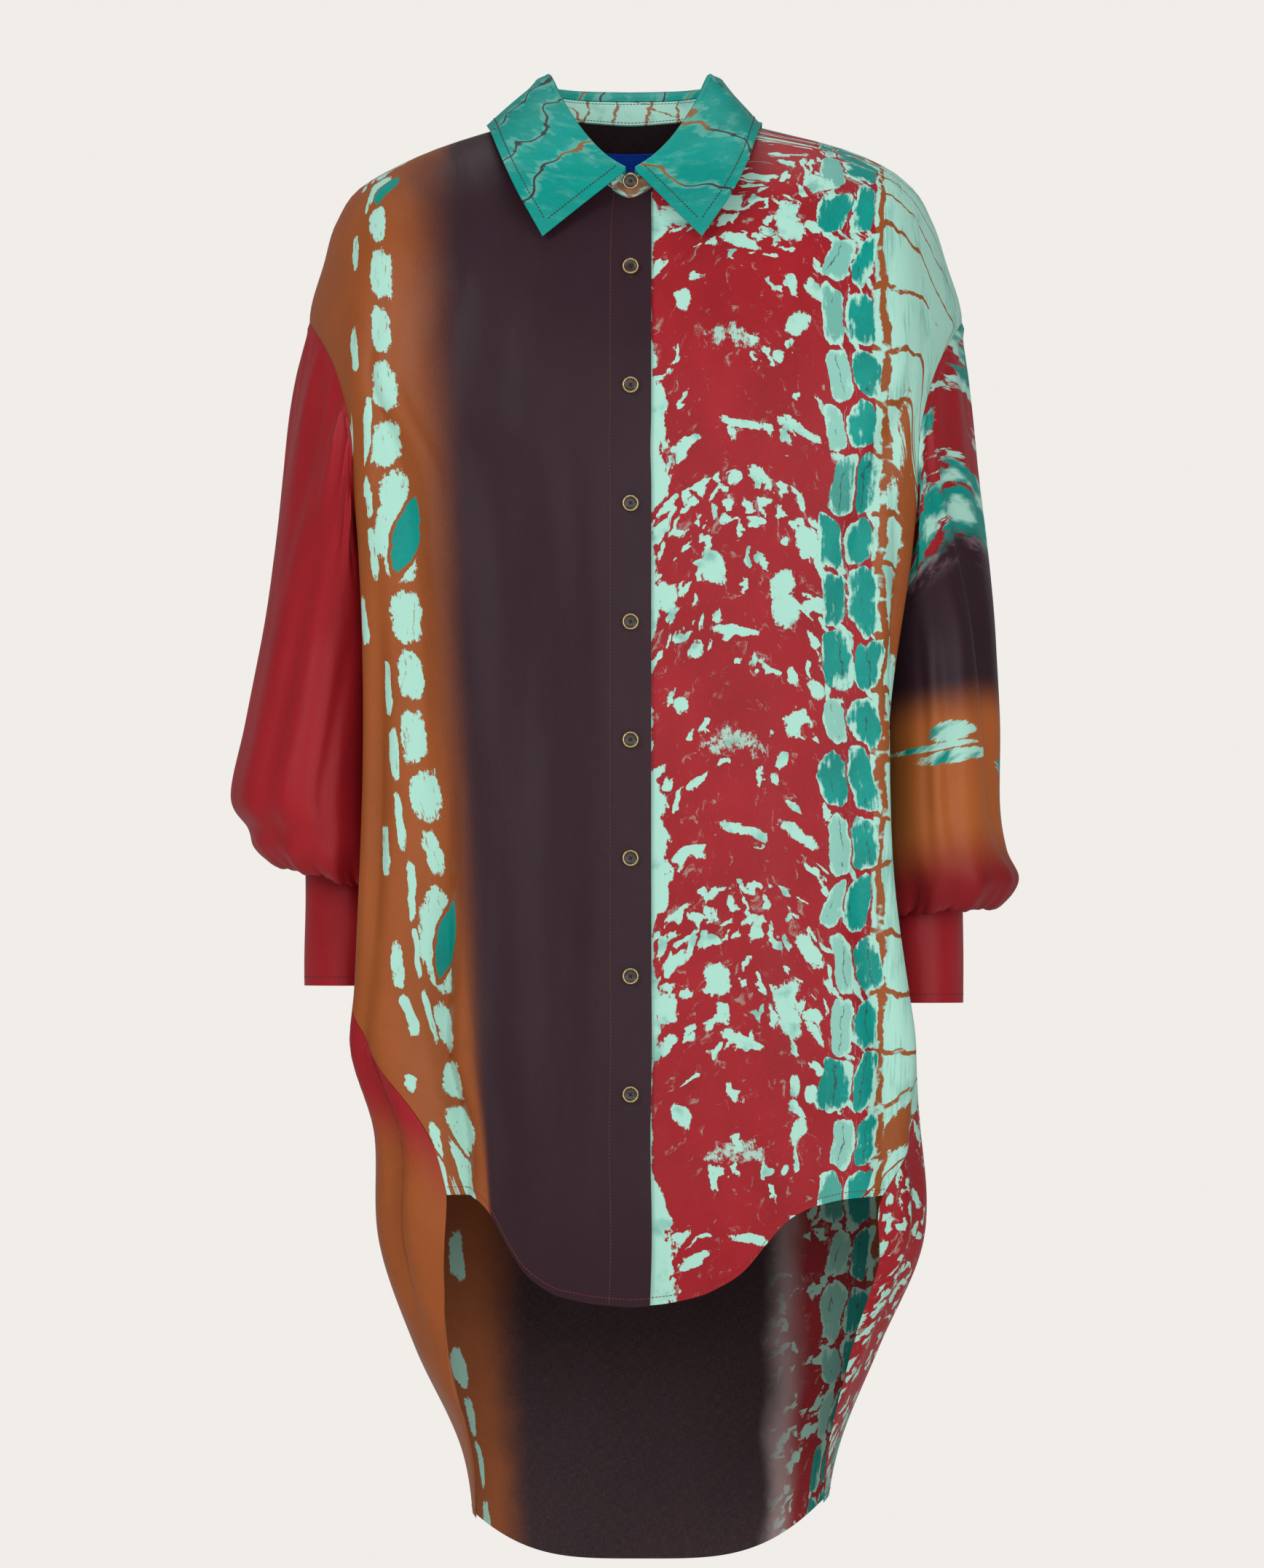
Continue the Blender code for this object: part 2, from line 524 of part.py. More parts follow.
def hole_ring(side):
    """The sleeve's first ring: just inside the armhole's cut edge, whose points it follows."""
    angles = np.arange(0, 2 * np.pi - 1e-6, 2 * np.pi / (2 * HOLE_STEPS))
    middle, half = (HOLE_TOP + HOLE_FOOT) / 2, (HOLE_FOOT - HOLE_TOP) / 2 - SEAM
    drops = middle - half * np.cos(angles)
    turns = LEFT - (HOLE_REACH - SEAM / TURN_ON_TRUNK) * np.sin(angles)
    points = trunk(turns if side > 0 else ROUND - turns, drops)
    doubled = np.empty((2 * len(points), 3))
    doubled[0::2] = points
    doubled[1::2] = (points + np.roll(points, -1, axis=0)) / 2
    return doubled


def oval_ring(ring, side, angles):
    """A ring of the sleeve, its angle 0 outermost and a quarter turn at the front."""
    out = (ring[:, 2] + ring[:, 3]) / 2
    half = (ring[:, 2] - ring[:, 3]) / 2
    middle = (ring[:, 4] + ring[:, 5]) / 2
    deep = (ring[:, 5] - ring[:, 4]) / 2
    lean = (1 + np.cos(angles)) / 2
    x = out[:, None] + half[:, None] * np.cos(angles)
    y = middle[:, None] - deep[:, None] * np.sin(angles)
    z = mix(ring[:, 1][:, None], ring[:, 0][:, None], lean)
    return np.stack([side * x, y, z], axis=-1)


def sleeve_fold_depth(folds, angles, shares):
    total = np.zeros((len(shares), len(angles)))
    for fold in folds:
        part = (shares - fold.start) / (fold.end - fold.start)
        centre = mix(fold.angle, fold.end_angle, part)[:, None]
        aside = (angles[None, :] - centre + np.pi) % (2 * np.pi) - np.pi
        fade = np.sin(np.pi * np.clip(part, 0, 1))[:, None]
        total += fold.depth * fade * np.exp(-(aside / fold.width) ** 2)
    return total


def make_sleeve(name, side, rings, folds, trunk_tree, surface):
    """A tube from the armhole, blousing over the cuff and turned up inside to meet it."""
    angles = np.linspace(0, 2 * np.pi, SLEEVE_COLUMNS, endpoint=False)
    start = hole_ring(side)
    low = smooth_read(np.arange(len(rings)), np.array(rings),
                      np.linspace(0, len(rings) - 1, SLEEVE_LOW_ROWS + 1))
    tube = oval_ring(low, side, angles)
    end = tube[0]
    length = np.linalg.norm(end - start, axis=1)[:, None]
    outer_share = ((1 + np.cos(angles)) / 2)[:, None]
    head_flare = RIGHT_FLARE if side < 0 else LEFT_FLARE
    flare = side * mix(UNDERARM_FLARE, head_flare, outer_share)
    leave = np.concatenate([flare, -HEAD_SPREAD * np.sin(angles)[:, None],
                            -np.ones_like(flare)], axis=1)
    leave = unit(leave) * length * HEAD_PULL
    arrive = unit(tube[1] - tube[0]) * length
    head = []
    for t in np.linspace(0, 1, SLEEVE_HEAD_ROWS, endpoint=False):
        head.append((2 * t**3 - 3 * t**2 + 1) * start + (t**3 - 2 * t**2 + t) * leave
                    + (3 * t**2 - 2 * t**3) * end + (t**3 - t**2) * arrive)
    outer = np.concatenate([np.array(head), tube])
    rows = len(outer)
    shares = np.linspace(0, 1, rows)
    normals = grid_normals(outer, True) * -side
    depth = sleeve_fold_depth(folds, angles, shares)
    for gather in (HEAD_GATHER, CUFF_GATHER):
        swell = gather.depth * np.exp(-((shares - gather.place) / gather.reach) ** 2)
        swell *= np.clip((shares - gather.end) / gather.fade, 0, 1)
        depth += swell[:, None] * np.sin(GATHERS * angles)
    outer = outer - normals * depth[..., None]
    room = mix(CLEAR / 2, CLEAR, np.clip(shares / SLEEVE_FREE, 0, 1))
    moved = kept_clear(outer, trunk_tree, np.broadcast_to(room[:, None], outer.shape[:2]))
    moved[0] = start
    normals = grid_normals(moved, True) * -side
    cloth(name, moved, moved - normals * WALL, surface, closed=True)


def make_cuff(name, side, cuff, surface):
    angles = np.linspace(0, 2 * np.pi, CUFF_COLUMNS, endpoint=False)
    heights = np.linspace(cuff.top, cuff.foot, CUFF_ROWS + 1)

    def oval(inset):
        x = side * (cuff.centre_x + (cuff.half_x - inset) * np.cos(angles))
        y = cuff.centre_y - (cuff.half_y - inset) * np.sin(angles)
        return np.array([np.stack([x, y, np.full_like(x, z)], axis=-1) for z in heights])

    cloth(name, oval(0), oval(WALL), surface, closed=True)


def collar_turns():
    return np.linspace(COLLAR[0].turns, ROUND - COLLAR[0].turns, COLLAR_COLUMNS + 1)


def collar_rows(turn):
    """The collar's table read at turns from the centre front, 0 to 16 round the neck."""
    from_front = np.minimum(turn, ROUND - turn)
    table = np.array(COLLAR)
    read = smooth_read(table[:, 0], table, np.clip(from_front, COLLAR[0].turns, BACK))
    left = np.where(turn <= BACK, read[:, 5], 0)
    right = np.where(turn > BACK, -read[:, 4], 0)
    return read, left + right


def neck_frame(turn):
    """Points of the neck seam and the level direction out of it."""
    seam = trunk(turn, np.zeros_like(turn))
    out = seam.copy()
    out[:, 2] = 0
    return seam, unit(out)


def band_edges(turn):
    """The outer face of the band at its foot and its top. Its left end sits in and its right
    end stands out, as the fronts do."""
    near_start = 1 - smooth_step((turn - LAP_HOLD) / LAP_REACH)
    near_end = 1 - smooth_step((ROUND - turn - LAP_HOLD) / LAP_REACH)
    shift = (LAP * (near_end - near_start))[:, None]
    read, _ = collar_rows(np.clip(turn, 0, ROUND))
    beyond = np.abs(turn - np.clip(turn, 0, ROUND))
    seam, out = neck_frame(turn)
    up = unit(seam - trunk(turn, np.full_like(turn, 0.002)))
    foot = seam + up * BAND_GAP + outward(plain_trunk, turn, np.zeros_like(turn)) * shift
    top = seam + out * read[:, 1:2]
    top[:, 2] = read[:, 2] - BAND_END_DROP * beyond ** 2
    return foot, top + out * shift


def make_band(surface):
    reach = turns_across(PLACKET_HALF - 0.002, 0.0)
    start = np.array((-reach, -reach / 3))
    turn = np.concatenate([start, collar_turns(), ROUND - start[::-1]])
    foot, top = band_edges(turn)
    outer = np.array([mix(foot, top, share) for share in np.linspace(0, 1, BAND_ROWS + 1)])
    inner = outer + grid_normals(outer, False) * WALL
    cloth("collar_band", outer, inner, surface)
    return outer


def collar_section(turn):
    """The middle of the fall's wall: up from the stand, over the roll and down to its edge."""
    read, edge_x = collar_rows(turn)
    _, out = neck_frame(turn)
    foot, top = band_edges(turn)
    rise = unit(top - foot)
    lean = np.sum(rise * out, axis=1)[:, None]
    into = np.array((0, 0, 1)) * lean - out * rise[:, 2:]
    start = top + into * WALL / 2 + rise * FALL_GAP
    climb = ((read[:, 3] - start[:, 2]) / rise[:, 2])[:, None]
    crest = start + rise * climb + out * ROLL
    turned = start + rise * climb * FALL_TURN + out * 2 * ROLL
    edge = np.stack([edge_x, read[:, 6], read[:, 7]], axis=-1)
    rows = [start, start + rise * climb * FALL_UP, crest, turned]
    for k in range(1, COLLAR_FALL_ROWS + 1):
        share = k / COLLAR_FALL_ROWS
        rows.append(mix(turned, edge, share) + out * FALL_BULGE * math.sin(math.pi * share))
    return np.array(rows)


def make_collar(trunk_tree, surface):
    middle = collar_section(collar_turns())
    room = np.zeros(middle.shape[:2])
    room[4:] = CLEAR
    middle = kept_clear(middle, trunk_tree, room)
    normals = -grid_normals(middle, False)
    cloth("collar", middle + normals * WALL / 2, middle - normals * WALL / 2, surface)


def make_label(surface):
    """A plain rectangle laid on the inside of the back, below the neck seam."""
    drops = np.linspace(LABEL_TOP, LABEL_FOOT, LABEL_ROWS + 1)
    across = np.linspace(-LABEL_WIDTH / 2, LABEL_WIDTH / 2, LABEL_COLUMNS + 1)
    turns = BACK - turns_across(across[None, :], drops[:, None])
    places = np.broadcast_to(drops[:, None], turns.shape)
    normals = outward(plain_trunk, turns, places)
    face = plain_trunk(turns, places) - normals * (WALL + SEAM)
    cloth("neck_label", face, face - normals * LABEL_THICK, surface)


def make_button(name, place, normal, gap, surface):
    """A turned button: a raised rim round a sunk middle, flat behind."""
    rim = BUTTON_RADIUS - BUTTON_RIM
    floor = BUTTON_HEIGHT * BUTTON_FLOOR
    profile = ((0, 0), (BUTTON_RADIUS * BUTTON_BACK, 0),
               (BUTTON_RADIUS, BUTTON_HEIGHT * BUTTON_EDGE),
               (BUTTON_RADIUS - BUTTON_RIM * RIM_TOP, BUTTON_HEIGHT),
               (rim, BUTTON_HEIGHT * RIM_FALL), (rim - RIM_SLOPE, floor), (0, floor))
    maker = bmesh.new()
    corners = [maker.verts.new((r, 0, z)) for r, z in profile]
    edges = [maker.edges.new(pair) for pair in zip(corners, corners[1:])]
    bmesh.ops.spin(maker, geom=corners + edges, cent=(0, 0, 0), axis=(0, 0, 1),
                   angle=2 * math.pi, steps=BUTTON_SIDES, use_merge=True)
    bmesh.ops.remove_doubles(maker, verts=maker.verts, dist=1e-6)
    made = finish(name, maker, surface)
    made.location = place + normal * gap
    made.rotation_mode = "QUATERNION"
    made.rotation_quaternion = normal.to_track_quat("Z", "Y")


def make_buttons(band, surface):
    drops = np.linspace(0.0, 1.0, 4001)
    centre = lapped(np.zeros_like(drops), drops, 1)
    for k in range(BUTTON_COUNT):
        height = FIRST_BUTTON - k * BUTTON_SPACING
        i = int(np.argmin(np.abs(centre[:, 2] - height)))
        normal = outward(trunk, np.array(0.0), drops[i])
        make_button(f"button_{k + 1}", Vector(centre[i]), Vector(normal), BUTTON_GAP, surface)
    foot, top = band[0, -2], band[-1, -2]
    place = Vector(mix(foot, top, (COLLAR_BUTTON_Z - foot[2]) / (top[2] - foot[2])))
    place.x = 0
    rise = Vector(top - foot)
    normal = Vector((0, -rise.z, rise.y)).normalized()
    make_button("button_collar", place, normal, 2 * BUTTON_GAP, surface)


def main():
    for old in list(bpy.data.objects):
        bpy.data.objects.remove(old)
    turns, drops = np.meshgrid(np.linspace(0, ROUND, TREE_COLUMNS),
                               np.linspace(0, DROPS[-1], TREE_ROWS))
    trunk_tree = tree_of(trunk(turns, drops))

    make_front("right_front", RIGHT_SEAM, RIGHT_HEM, True,
               material("right front silk", AUBERGINE, SILK))
    make_front("left_front", LEFT_SEAM, LEFT_HEM, False,
               material("left front silk", RED, SILK))
    make_back(material("back silk", RUST, SILK))
    make_sleeve("right_sleeve", -1, RIGHT_SLEEVE, RIGHT_SLEEVE_FOLDS, trunk_tree,
                material("right sleeve silk", RED, SILK))
    make_sleeve("left_sleeve", 1, LEFT_SLEEVE, LEFT_SLEEVE_FOLDS, trunk_tree,
                material("left sleeve silk", RUST, SILK))
    make_cuff("right_cuff", -1, RIGHT_CUFF, material("right cuff silk", RED, SILK))
    make_cuff("left_cuff", 1, LEFT_CUFF, material("left cuff silk", RED, SILK))
    band = make_band(material("stand silk", MINT, SILK))
    make_collar(trunk_tree, material("collar silk", TURQUOISE, SILK))
    make_label(material("label satin", BLUE, 0.5))
    make_buttons(band, material("brass", BRASS, 0.35, 0.9))


main()
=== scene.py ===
"""Dresses the silk shirt's solids: thin dyed silk with its creases and gathers, stitching,
buttons and a bare label, in a plain studio.

Metres, +Z up. The wearer faces -Y. The cloth is laid on the same sections as the solids."""

import math
from collections import namedtuple

import bmesh
import bpy
import numpy as np
from bpy.props import FloatProperty, FloatVectorProperty, IntProperty, PointerProperty
from bpy.types import Operator, Panel, PropertyGroup
from mathutils import Matrix, Vector
from mathutils.bvhtree import BVHTree


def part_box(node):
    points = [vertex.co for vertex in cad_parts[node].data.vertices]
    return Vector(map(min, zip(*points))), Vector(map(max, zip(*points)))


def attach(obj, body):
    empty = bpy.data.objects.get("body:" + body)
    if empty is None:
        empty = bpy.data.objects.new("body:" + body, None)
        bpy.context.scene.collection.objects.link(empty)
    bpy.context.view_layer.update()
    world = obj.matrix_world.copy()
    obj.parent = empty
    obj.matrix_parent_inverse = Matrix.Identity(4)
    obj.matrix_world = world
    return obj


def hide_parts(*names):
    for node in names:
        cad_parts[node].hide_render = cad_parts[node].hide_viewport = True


bl_info = {
    "name": "Silk shirt",
    "version": (1, 0, 0),
    "blender": (4, 5, 0),
    "location": "View3D > Sidebar > Silk shirt",
    "description": "Lays dyed silk, stitching and buttons on the shirt's solids",
    "category": "Object",
}

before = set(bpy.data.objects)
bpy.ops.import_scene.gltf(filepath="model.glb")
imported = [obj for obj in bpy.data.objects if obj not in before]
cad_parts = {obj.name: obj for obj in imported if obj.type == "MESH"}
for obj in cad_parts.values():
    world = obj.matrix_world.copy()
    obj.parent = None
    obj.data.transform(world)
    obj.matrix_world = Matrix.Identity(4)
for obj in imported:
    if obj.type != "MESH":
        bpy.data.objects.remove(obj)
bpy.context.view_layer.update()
BODY = "root"


# The trunk's sections, as in the part's source

LEFT, BACK, RIGHT, ROUND = 4, 8, 12, 16
FIRST_STATION = 0.42         # share of the half width at the first turn from the centre
NORMAL_STEP = (0.01, 0.001)
FOLD_FADE = 1.5              # how sharply a fold fades towards its ends


def named_rows(kind, *values):
    """A table's rows, each with its columns named by its kind."""
    return tuple(kind(*row) for row in values)


Ring = namedtuple("Ring", "drop front_z back_z right left front_y back_y edge box pinch")
TRUNK = named_rows(
    Ring,
    (0.000, -0.063, -0.006, 0.068, 0.066, 0.078, 0.062, 0.95, 0.00, 0.00),
    (0.010, -0.080, -0.022, 0.104, 0.107, 0.090, 0.076, 0.95, 0.10, 0.00),
    (0.022, -0.099, -0.044, 0.142, 0.155, 0.101, 0.092, 0.95, 0.22, 0.00),
    (0.036, -0.121, -0.068, 0.175, 0.190, 0.110, 0.108, 0.94, 0.34, 0.00),
    (0.052, -0.143, -0.092, 0.203, 0.212, 0.118, 0.120, 0.93, 0.46, 0.00),
    (0.078, -0.167, -0.120, 0.222, 0.228, 0.125, 0.131, 0.92, 0.58, 0.00),
    (0.110, -0.192, -0.156, 0.232, 0.239, 0.130, 0.140, 0.91, 0.68, 0.00),
    (0.155, -0.222, -0.203, 0.243, 0.251, 0.134, 0.146, 0.89, 0.78, 0.00),
    (0.240, -0.275, -0.265, 0.211, 0.219, 0.139, 0.150, 1.00, 0.92, 0.04),
    (0.330, -0.340, -0.336, 0.205, 0.214, 0.141, 0.155, 1.00, 1.00, 0.15),
    (0.450, -0.450, -0.450, 0.202, 0.205, 0.142, 0.160, 1.00, 1.00, 0.27),
    (0.600, -0.600, -0.600, 0.206, 0.204, 0.145, 0.165, 1.00, 1.00, 0.22),
    (0.660, -0.660, -0.660, 0.209, 0.210, 0.145, 0.166, 1.00, 1.00, 0.22),
    (0.700, -0.700, -0.700, 0.212, 0.217, 0.145, 0.166, 1.00, 1.00, 0.14),
    (0.770, -0.770, -0.770, 0.190, 0.216, 0.144, 0.166, 1.00, 0.95, 0.00),
    (0.850, -0.850, -0.850, 0.188, 0.219, 0.140, 0.165, 0.99, 0.88, 0.00),
    (0.930, -0.930, -0.930, 0.163, 0.188, 0.122, 0.160, 0.97, 0.80, 0.00),
    (1.010, -1.010, -1.010, 0.1275, 0.157, 0.100, 0.152, 0.95, 0.70, 0.00),
    (1.100, -1.100, -1.100, 0.116, 0.144, 0.080, 0.140, 0.95, 0.60, 0.00),
)

# Folds are troughs from (turn, drop) to (turn, drop), with a half width in turns on each side.
# A ridge has a depth below zero. The first group are the solids' own.
Fold = namedtuple("Fold", "turn drop end_turn end_drop before after depth")
FOLDS = named_rows(
    Fold,
    (14.22, 0.46, 14.28, 0.94, 0.42, 0.13, 0.024),
    (13.39, 0.28, 13.35, 0.76, 0.20, 0.16, 0.010),
    (13.22, 0.62, 13.20, 0.96, 0.16, 0.18, 0.014),
    (13.60, 0.06, 14.05, 0.60, 0.26, 0.22, 0.006),
    (14.75, 0.05, 14.90, 0.56, 0.26, 0.26, 0.005),
    (15.25, 0.20, 15.30, 0.86, 0.24, 0.28, 0.004),
    (2.55, 0.22, 3.12, 0.66, 0.15, 0.32, 0.015),
    (2.75, 0.10, 1.85, 0.44, 0.24, 0.26, 0.005),
    (1.35, 0.26, 1.60, 0.88, 0.26, 0.26, 0.004),
    (2.30, 0.50, 2.55, 0.92, 0.22, 0.26, 0.008),
    (3.05, 0.66, 3.05, 1.00, 0.18, 0.18, 0.009),
    (6.60, 0.10, 6.30, 0.92, 0.30, 0.30, 0.009),
    (7.50, 0.14, 7.45, 1.02, 0.28, 0.28, 0.006),
    (8.60, 0.16, 8.75, 1.02, 0.30, 0.28, 0.007),
    (9.60, 0.10, 9.85, 0.90, 0.30, 0.30, 0.010),
    (5.30, 0.26, 5.15, 0.86, 0.26, 0.26, 0.009),
    (10.75, 0.28, 10.90, 0.86, 0.26, 0.26, 0.009),
)
CREASES = named_rows(
    Fold,
    (14.55, 0.02, 14.62, 0.34, 0.10, 0.13, 0.0019),
    (14.05, 0.03, 14.30, 0.40, 0.12, 0.10, 0.0020),
    (13.75, 0.08, 13.72, 0.36, 0.10, 0.10, 0.0014),
    (15.05, 0.04, 15.02, 0.30, 0.12, 0.14, 0.0012),
    (15.45, 0.10, 15.62, 0.52, 0.12, 0.10, 0.0010),
    (15.55, 0.46, 15.50, 0.80, 0.14, 0.10, 0.0011),
    (14.85, 0.52, 14.78, 0.88, 0.14, 0.18, 0.0016),
    (13.85, 0.30, 14.00, 0.62, 0.10, 0.12, 0.0016),
    (15.70, 0.60, 15.20, 0.70, 0.12, 0.12, 0.0006),
    (15.68, 0.42, 15.25, 0.50, 0.12, 0.12, 0.0006),
    (0.55, 0.08, 0.95, 0.46, 0.14, 0.14, 0.0010),
    (0.90, 0.42, 0.80, 0.86, 0.14, 0.16, 0.0011),
    (1.75, 0.04, 1.35, 0.34, 0.12, 0.12, 0.0012),
    (2.20, 0.34, 2.35, 0.74, 0.12, 0.14, 0.0016),
    (1.95, 0.62, 2.00, 0.90, 0.12, 0.12, 0.0014),
    (3.10, 0.08, 2.75, 0.30, 0.12, 0.10, 0.0014),
    (2.78, 0.60, 2.72, 0.84, 0.10, 0.10, 0.0015),
    (6.95, 0.12, 6.85, 0.70, 0.12, 0.12, 0.0019),
    (7.15, 0.46, 7.05, 1.04, 0.12, 0.12, 0.0016),
    (8.05, 0.60, 8.10, 1.07, 0.12, 0.12, 0.0011),
    (9.05, 0.16, 9.25, 0.80, 0.12, 0.12, 0.0019),
    (9.45, 0.56, 9.30, 1.04, 0.12, 0.12, 0.0016),
    (5.75, 0.20, 5.65, 0.74, 0.12, 0.12, 0.0017),
    (10.35, 0.22, 10.40, 0.76, 0.12, 0.12, 0.0017),
)

HOLE_TOP, HOLE_FOOT, HOLE_REACH = 0.155, 0.33, 1.05
SeamPoint = namedtuple("SeamPoint", "drop turns")
RIGHT_SEAM = named_rows(
    SeamPoint, (0.330, 4.00), (0.550, 4.00), (0.620, 3.60), (0.675, 3.00), (0.717, 2.55),
    (0.767, 2.20), (0.8145, 1.98))
LEFT_SEAM = named_rows(
    SeamPoint, (0.330, 4.00), (0.620, 4.00), (0.700, 3.60), (0.769, 3.00), (0.800, 2.60),
    (0.8145, 2.40))
RIGHT_EDGE = RIGHT_SEAM + named_rows(
    SeamPoint, (0.870, 2.05), (0.930, 2.35), (0.985, 2.80), (1.035, 3.20))
LEFT_EDGE = LEFT_SEAM + named_rows(
    SeamPoint, (0.870, 2.42), (0.930, 2.52), (0.985, 2.80), (1.035, 3.20))

FRONT_HEM_SIDE = 0.8145
HemPoint = namedtuple("HemPoint", "x drop")
RIGHT_HEM = named_rows(
    HemPoint, (0.000, 0.8985), (0.045, 0.8940), (0.077, 0.8860), (0.098, 0.8700), (0.110, 0.8500),
    (0.120, 0.8320), (0.131, 0.8200), (0.142, FRONT_HEM_SIDE))
LEFT_HEM = named_rows(
    HemPoint, (0.000, 0.8985), (0.035, 0.8950), (0.068, 0.8850), (0.090, 0.8690), (0.102, 0.8520),
    (0.115, 0.8360), (0.130, 0.8260), (0.150, 0.8195), (0.191, FRONT_HEM_SIDE))
BACK_HEM, BACK_HEM_RISE, BACK_HEM_HALF, BACK_HEM_CENTRE = 1.0943, 0.048, 0.14, 0.009
BACK_HEM_POWER = 3.6

PLACKET_HALF = 0.0153
LAP, LAP_HOLD, LAP_REACH = 0.0013, 0.25, 0.9
HOLE_SPREAD, FRONT_SWING_SPREAD, BACK_SWING_SPREAD = 3.0, 1.5, 4.0
TREE_COLUMNS, TREE_ROWS = 129, 220

# How finely the cloth is laid: rows above, beside and below the armholes, and columns
SHOULDER_ROWS, HOLE_ROWS, SIDE_ROWS, TAIL_ROWS = 26, 30, 104, 46
FRONT_COLUMNS, BACK_COLUMNS = 100, 150
SEAM_ROOM = 0.0003          # room left at each seam
# Metres in a turn at the neck and on the trunk, and how far down the neck's measure fades
TURN_AT_NECK, TURN_ON_TRUNK, NECK_REACH = 0.035, 0.075, 0.11
SHARP_ANGLE, BUTTON_SHARP_ANGLE = math.radians(50), math.radians(55)


# Curves and the trunk's surface

def smooth_read(knots, values, at):
    """A smooth curve through values, the knots first, read at each place in `at`."""
    knots = np.asarray(knots, float)
    values = np.asarray(values, float)
    at = np.clip(at, knots[0], knots[-1])
    slopes = np.gradient(values, knots, axis=0)
    i = np.clip(np.searchsorted(knots, at, side="right") - 1, 0, len(knots) - 2)
    step = knots[i + 1] - knots[i]
    t = (at - knots[i]) / step
    shape = np.shape(at) + (1,) * (values.ndim - 1)
    t, step = t.reshape(shape), step.reshape(shape)
    return eased(t, values[i], step * slopes[i], values[i + 1], step * slopes[i + 1])


def eased(t, start, leave, end, arrive):
    """A curve from start to end that leaves and arrives as told, at shares t of the way."""
    return ((2 * t**3 - 3 * t**2 + 1) * start + (t**3 - 2 * t**2 + t) * leave
            + (3 * t**2 - 2 * t**3) * end + (t**3 - t**2) * arrive)


def smooth_step(t):
    t = np.clip(t, 0, 1)
    return t * t * (3 - 2 * t)


def mix(a, b, share):
    return a + (b - a) * share


def unit(vectors):
    return vectors / np.linalg.norm(vectors, axis=-1, keepdims=True)


def stations(ring):
    """Sixteen points round a ring of the trunk, from the centre front by the left side."""
    box = ring.box
    across = (0, FIRST_STATION, 0.76, ring.edge, 1 - ring.pinch)
    depth = (1, mix(0.907, 0.985, box), mix(0.65, 0.9, box), mix(0.31, 0.68, box))
    height = (1, mix(0.7, 0.92, box), mix(0.33, 0.7, box), mix(0.08, 0.3, box), 0)
    middle = (ring.back_y - ring.front_y) / 2

    def quarter(half, y, z):
        return [(half * across[i], y * depth[i] if i < 4 else middle,
                 mix(-ring.drop, z, height[i])) for i in range(5)]

    left_front = quarter(ring.left, -ring.front_y, ring.front_z)
    left_back = quarter(ring.left, ring.back_y, ring.back_z)
    right_front = quarter(-ring.right, -ring.front_y, ring.front_z)
    right_back = quarter(-ring.right, ring.back_y, ring.back_z)
    return left_front + left_back[3::-1] + right_back[1:] + right_front[3:0:-1]


DROPS = np.array([ring.drop for ring in TRUNK])
STATIONS = np.array([stations(ring) for ring in TRUNK])


def plain_trunk(turn, drop):
    """The trunk without its folds."""
    turn = np.asarray(turn, float)
    rings = smooth_read(DROPS, STATIONS, np.asarray(drop, float))
    start = np.floor(turn).astype(int)
    t = (turn - start)[..., None]
    before, here, after, beyond = (
        np.take_along_axis(rings, ((start + k) % ROUND)[..., None, None], axis=-2)[..., 0, :]
        for k in (-1, 0, 1, 2))
    return 0.5 * (2 * here + (after - before) * t
                  + (2 * before - 5 * here + 4 * after - beyond) * t**2
                  + (3 * here - before - 3 * after + beyond) * t**3)


def outward(surface, turn, drop):
    """The unit normal of a surface of (turn, drop), pointing out of the trunk."""
    d_turn, d_drop = NORMAL_STEP
    drop = np.clip(drop, d_drop, None)
    along = surface(turn + d_turn, drop) - surface(turn - d_turn, drop)
    down = surface(turn, drop + d_drop) - surface(turn, drop - d_drop)
    return unit(np.cross(down, along))


def fold_depth(turn, drop, folds):
    """How far the folds pull the cloth in at each place."""
    total = np.zeros(np.broadcast(turn, drop).shape)
    for fold in folds:
        share = (drop - fold.drop) / (fold.end_drop - fold.drop)
        centre = mix(fold.turn, fold.end_turn, share)
        aside = (turn - centre + ROUND / 2) % ROUND - ROUND / 2
        width = np.where(aside < 0, fold.before, fold.after)
        fade = np.sin(np.pi * np.clip(share, 0, 1)) ** FOLD_FADE
        total = total + fold.depth * fade * np.exp(-(aside / width) ** 2)
    return total


def trunk(turn, drop, folds=FOLDS + CREASES):
    turn, drop = np.broadcast_arrays(np.asarray(turn, float), np.asarray(drop, float))
    inward = -outward(plain_trunk, turn, drop)
    return plain_trunk(turn, drop) + inward * fold_depth(turn, drop, folds)[..., None]


def half_width(drop):
    return smooth_read(DROPS, [(ring.right + ring.left) / 2 for ring in TRUNK], drop)


def turns_across(distance, drop):
    """Turns that cover a distance along the front or back, beside the centre line."""
    return distance / (FIRST_STATION * half_width(drop))


# The panels' edges

def hole_turns(drop):
    """How far round from the side the armhole reaches at this drop."""
    share = (drop - HOLE_TOP) / (HOLE_FOOT - HOLE_TOP)
    return HOLE_REACH * np.sqrt(np.clip(1 - (2 * share - 1) ** 2, 0, 1))


def seam_turns(seam, drop):
    return smooth_read([p.drop for p in seam], [p.turns for p in seam], drop)


def front_hem(points):
    return lambda x: smooth_read([p.x for p in points], [p.drop for p in points], np.abs(x))


def back_hem(x):
    aside = np.abs((x - BACK_HEM_CENTRE) / BACK_HEM_HALF)
    return BACK_HEM - BACK_HEM_RISE * aside ** BACK_HEM_POWER


def hole_drops():
    """Where the rows meet the armhole, and where the same rows lie away from it."""
    steps = np.linspace(0, 1, HOLE_ROWS + 1)
    return mix(HOLE_TOP, HOLE_FOOT, (1 - np.cos(np.pi * steps)) / 2), mix(
        HOLE_TOP, HOLE_FOOT, steps)


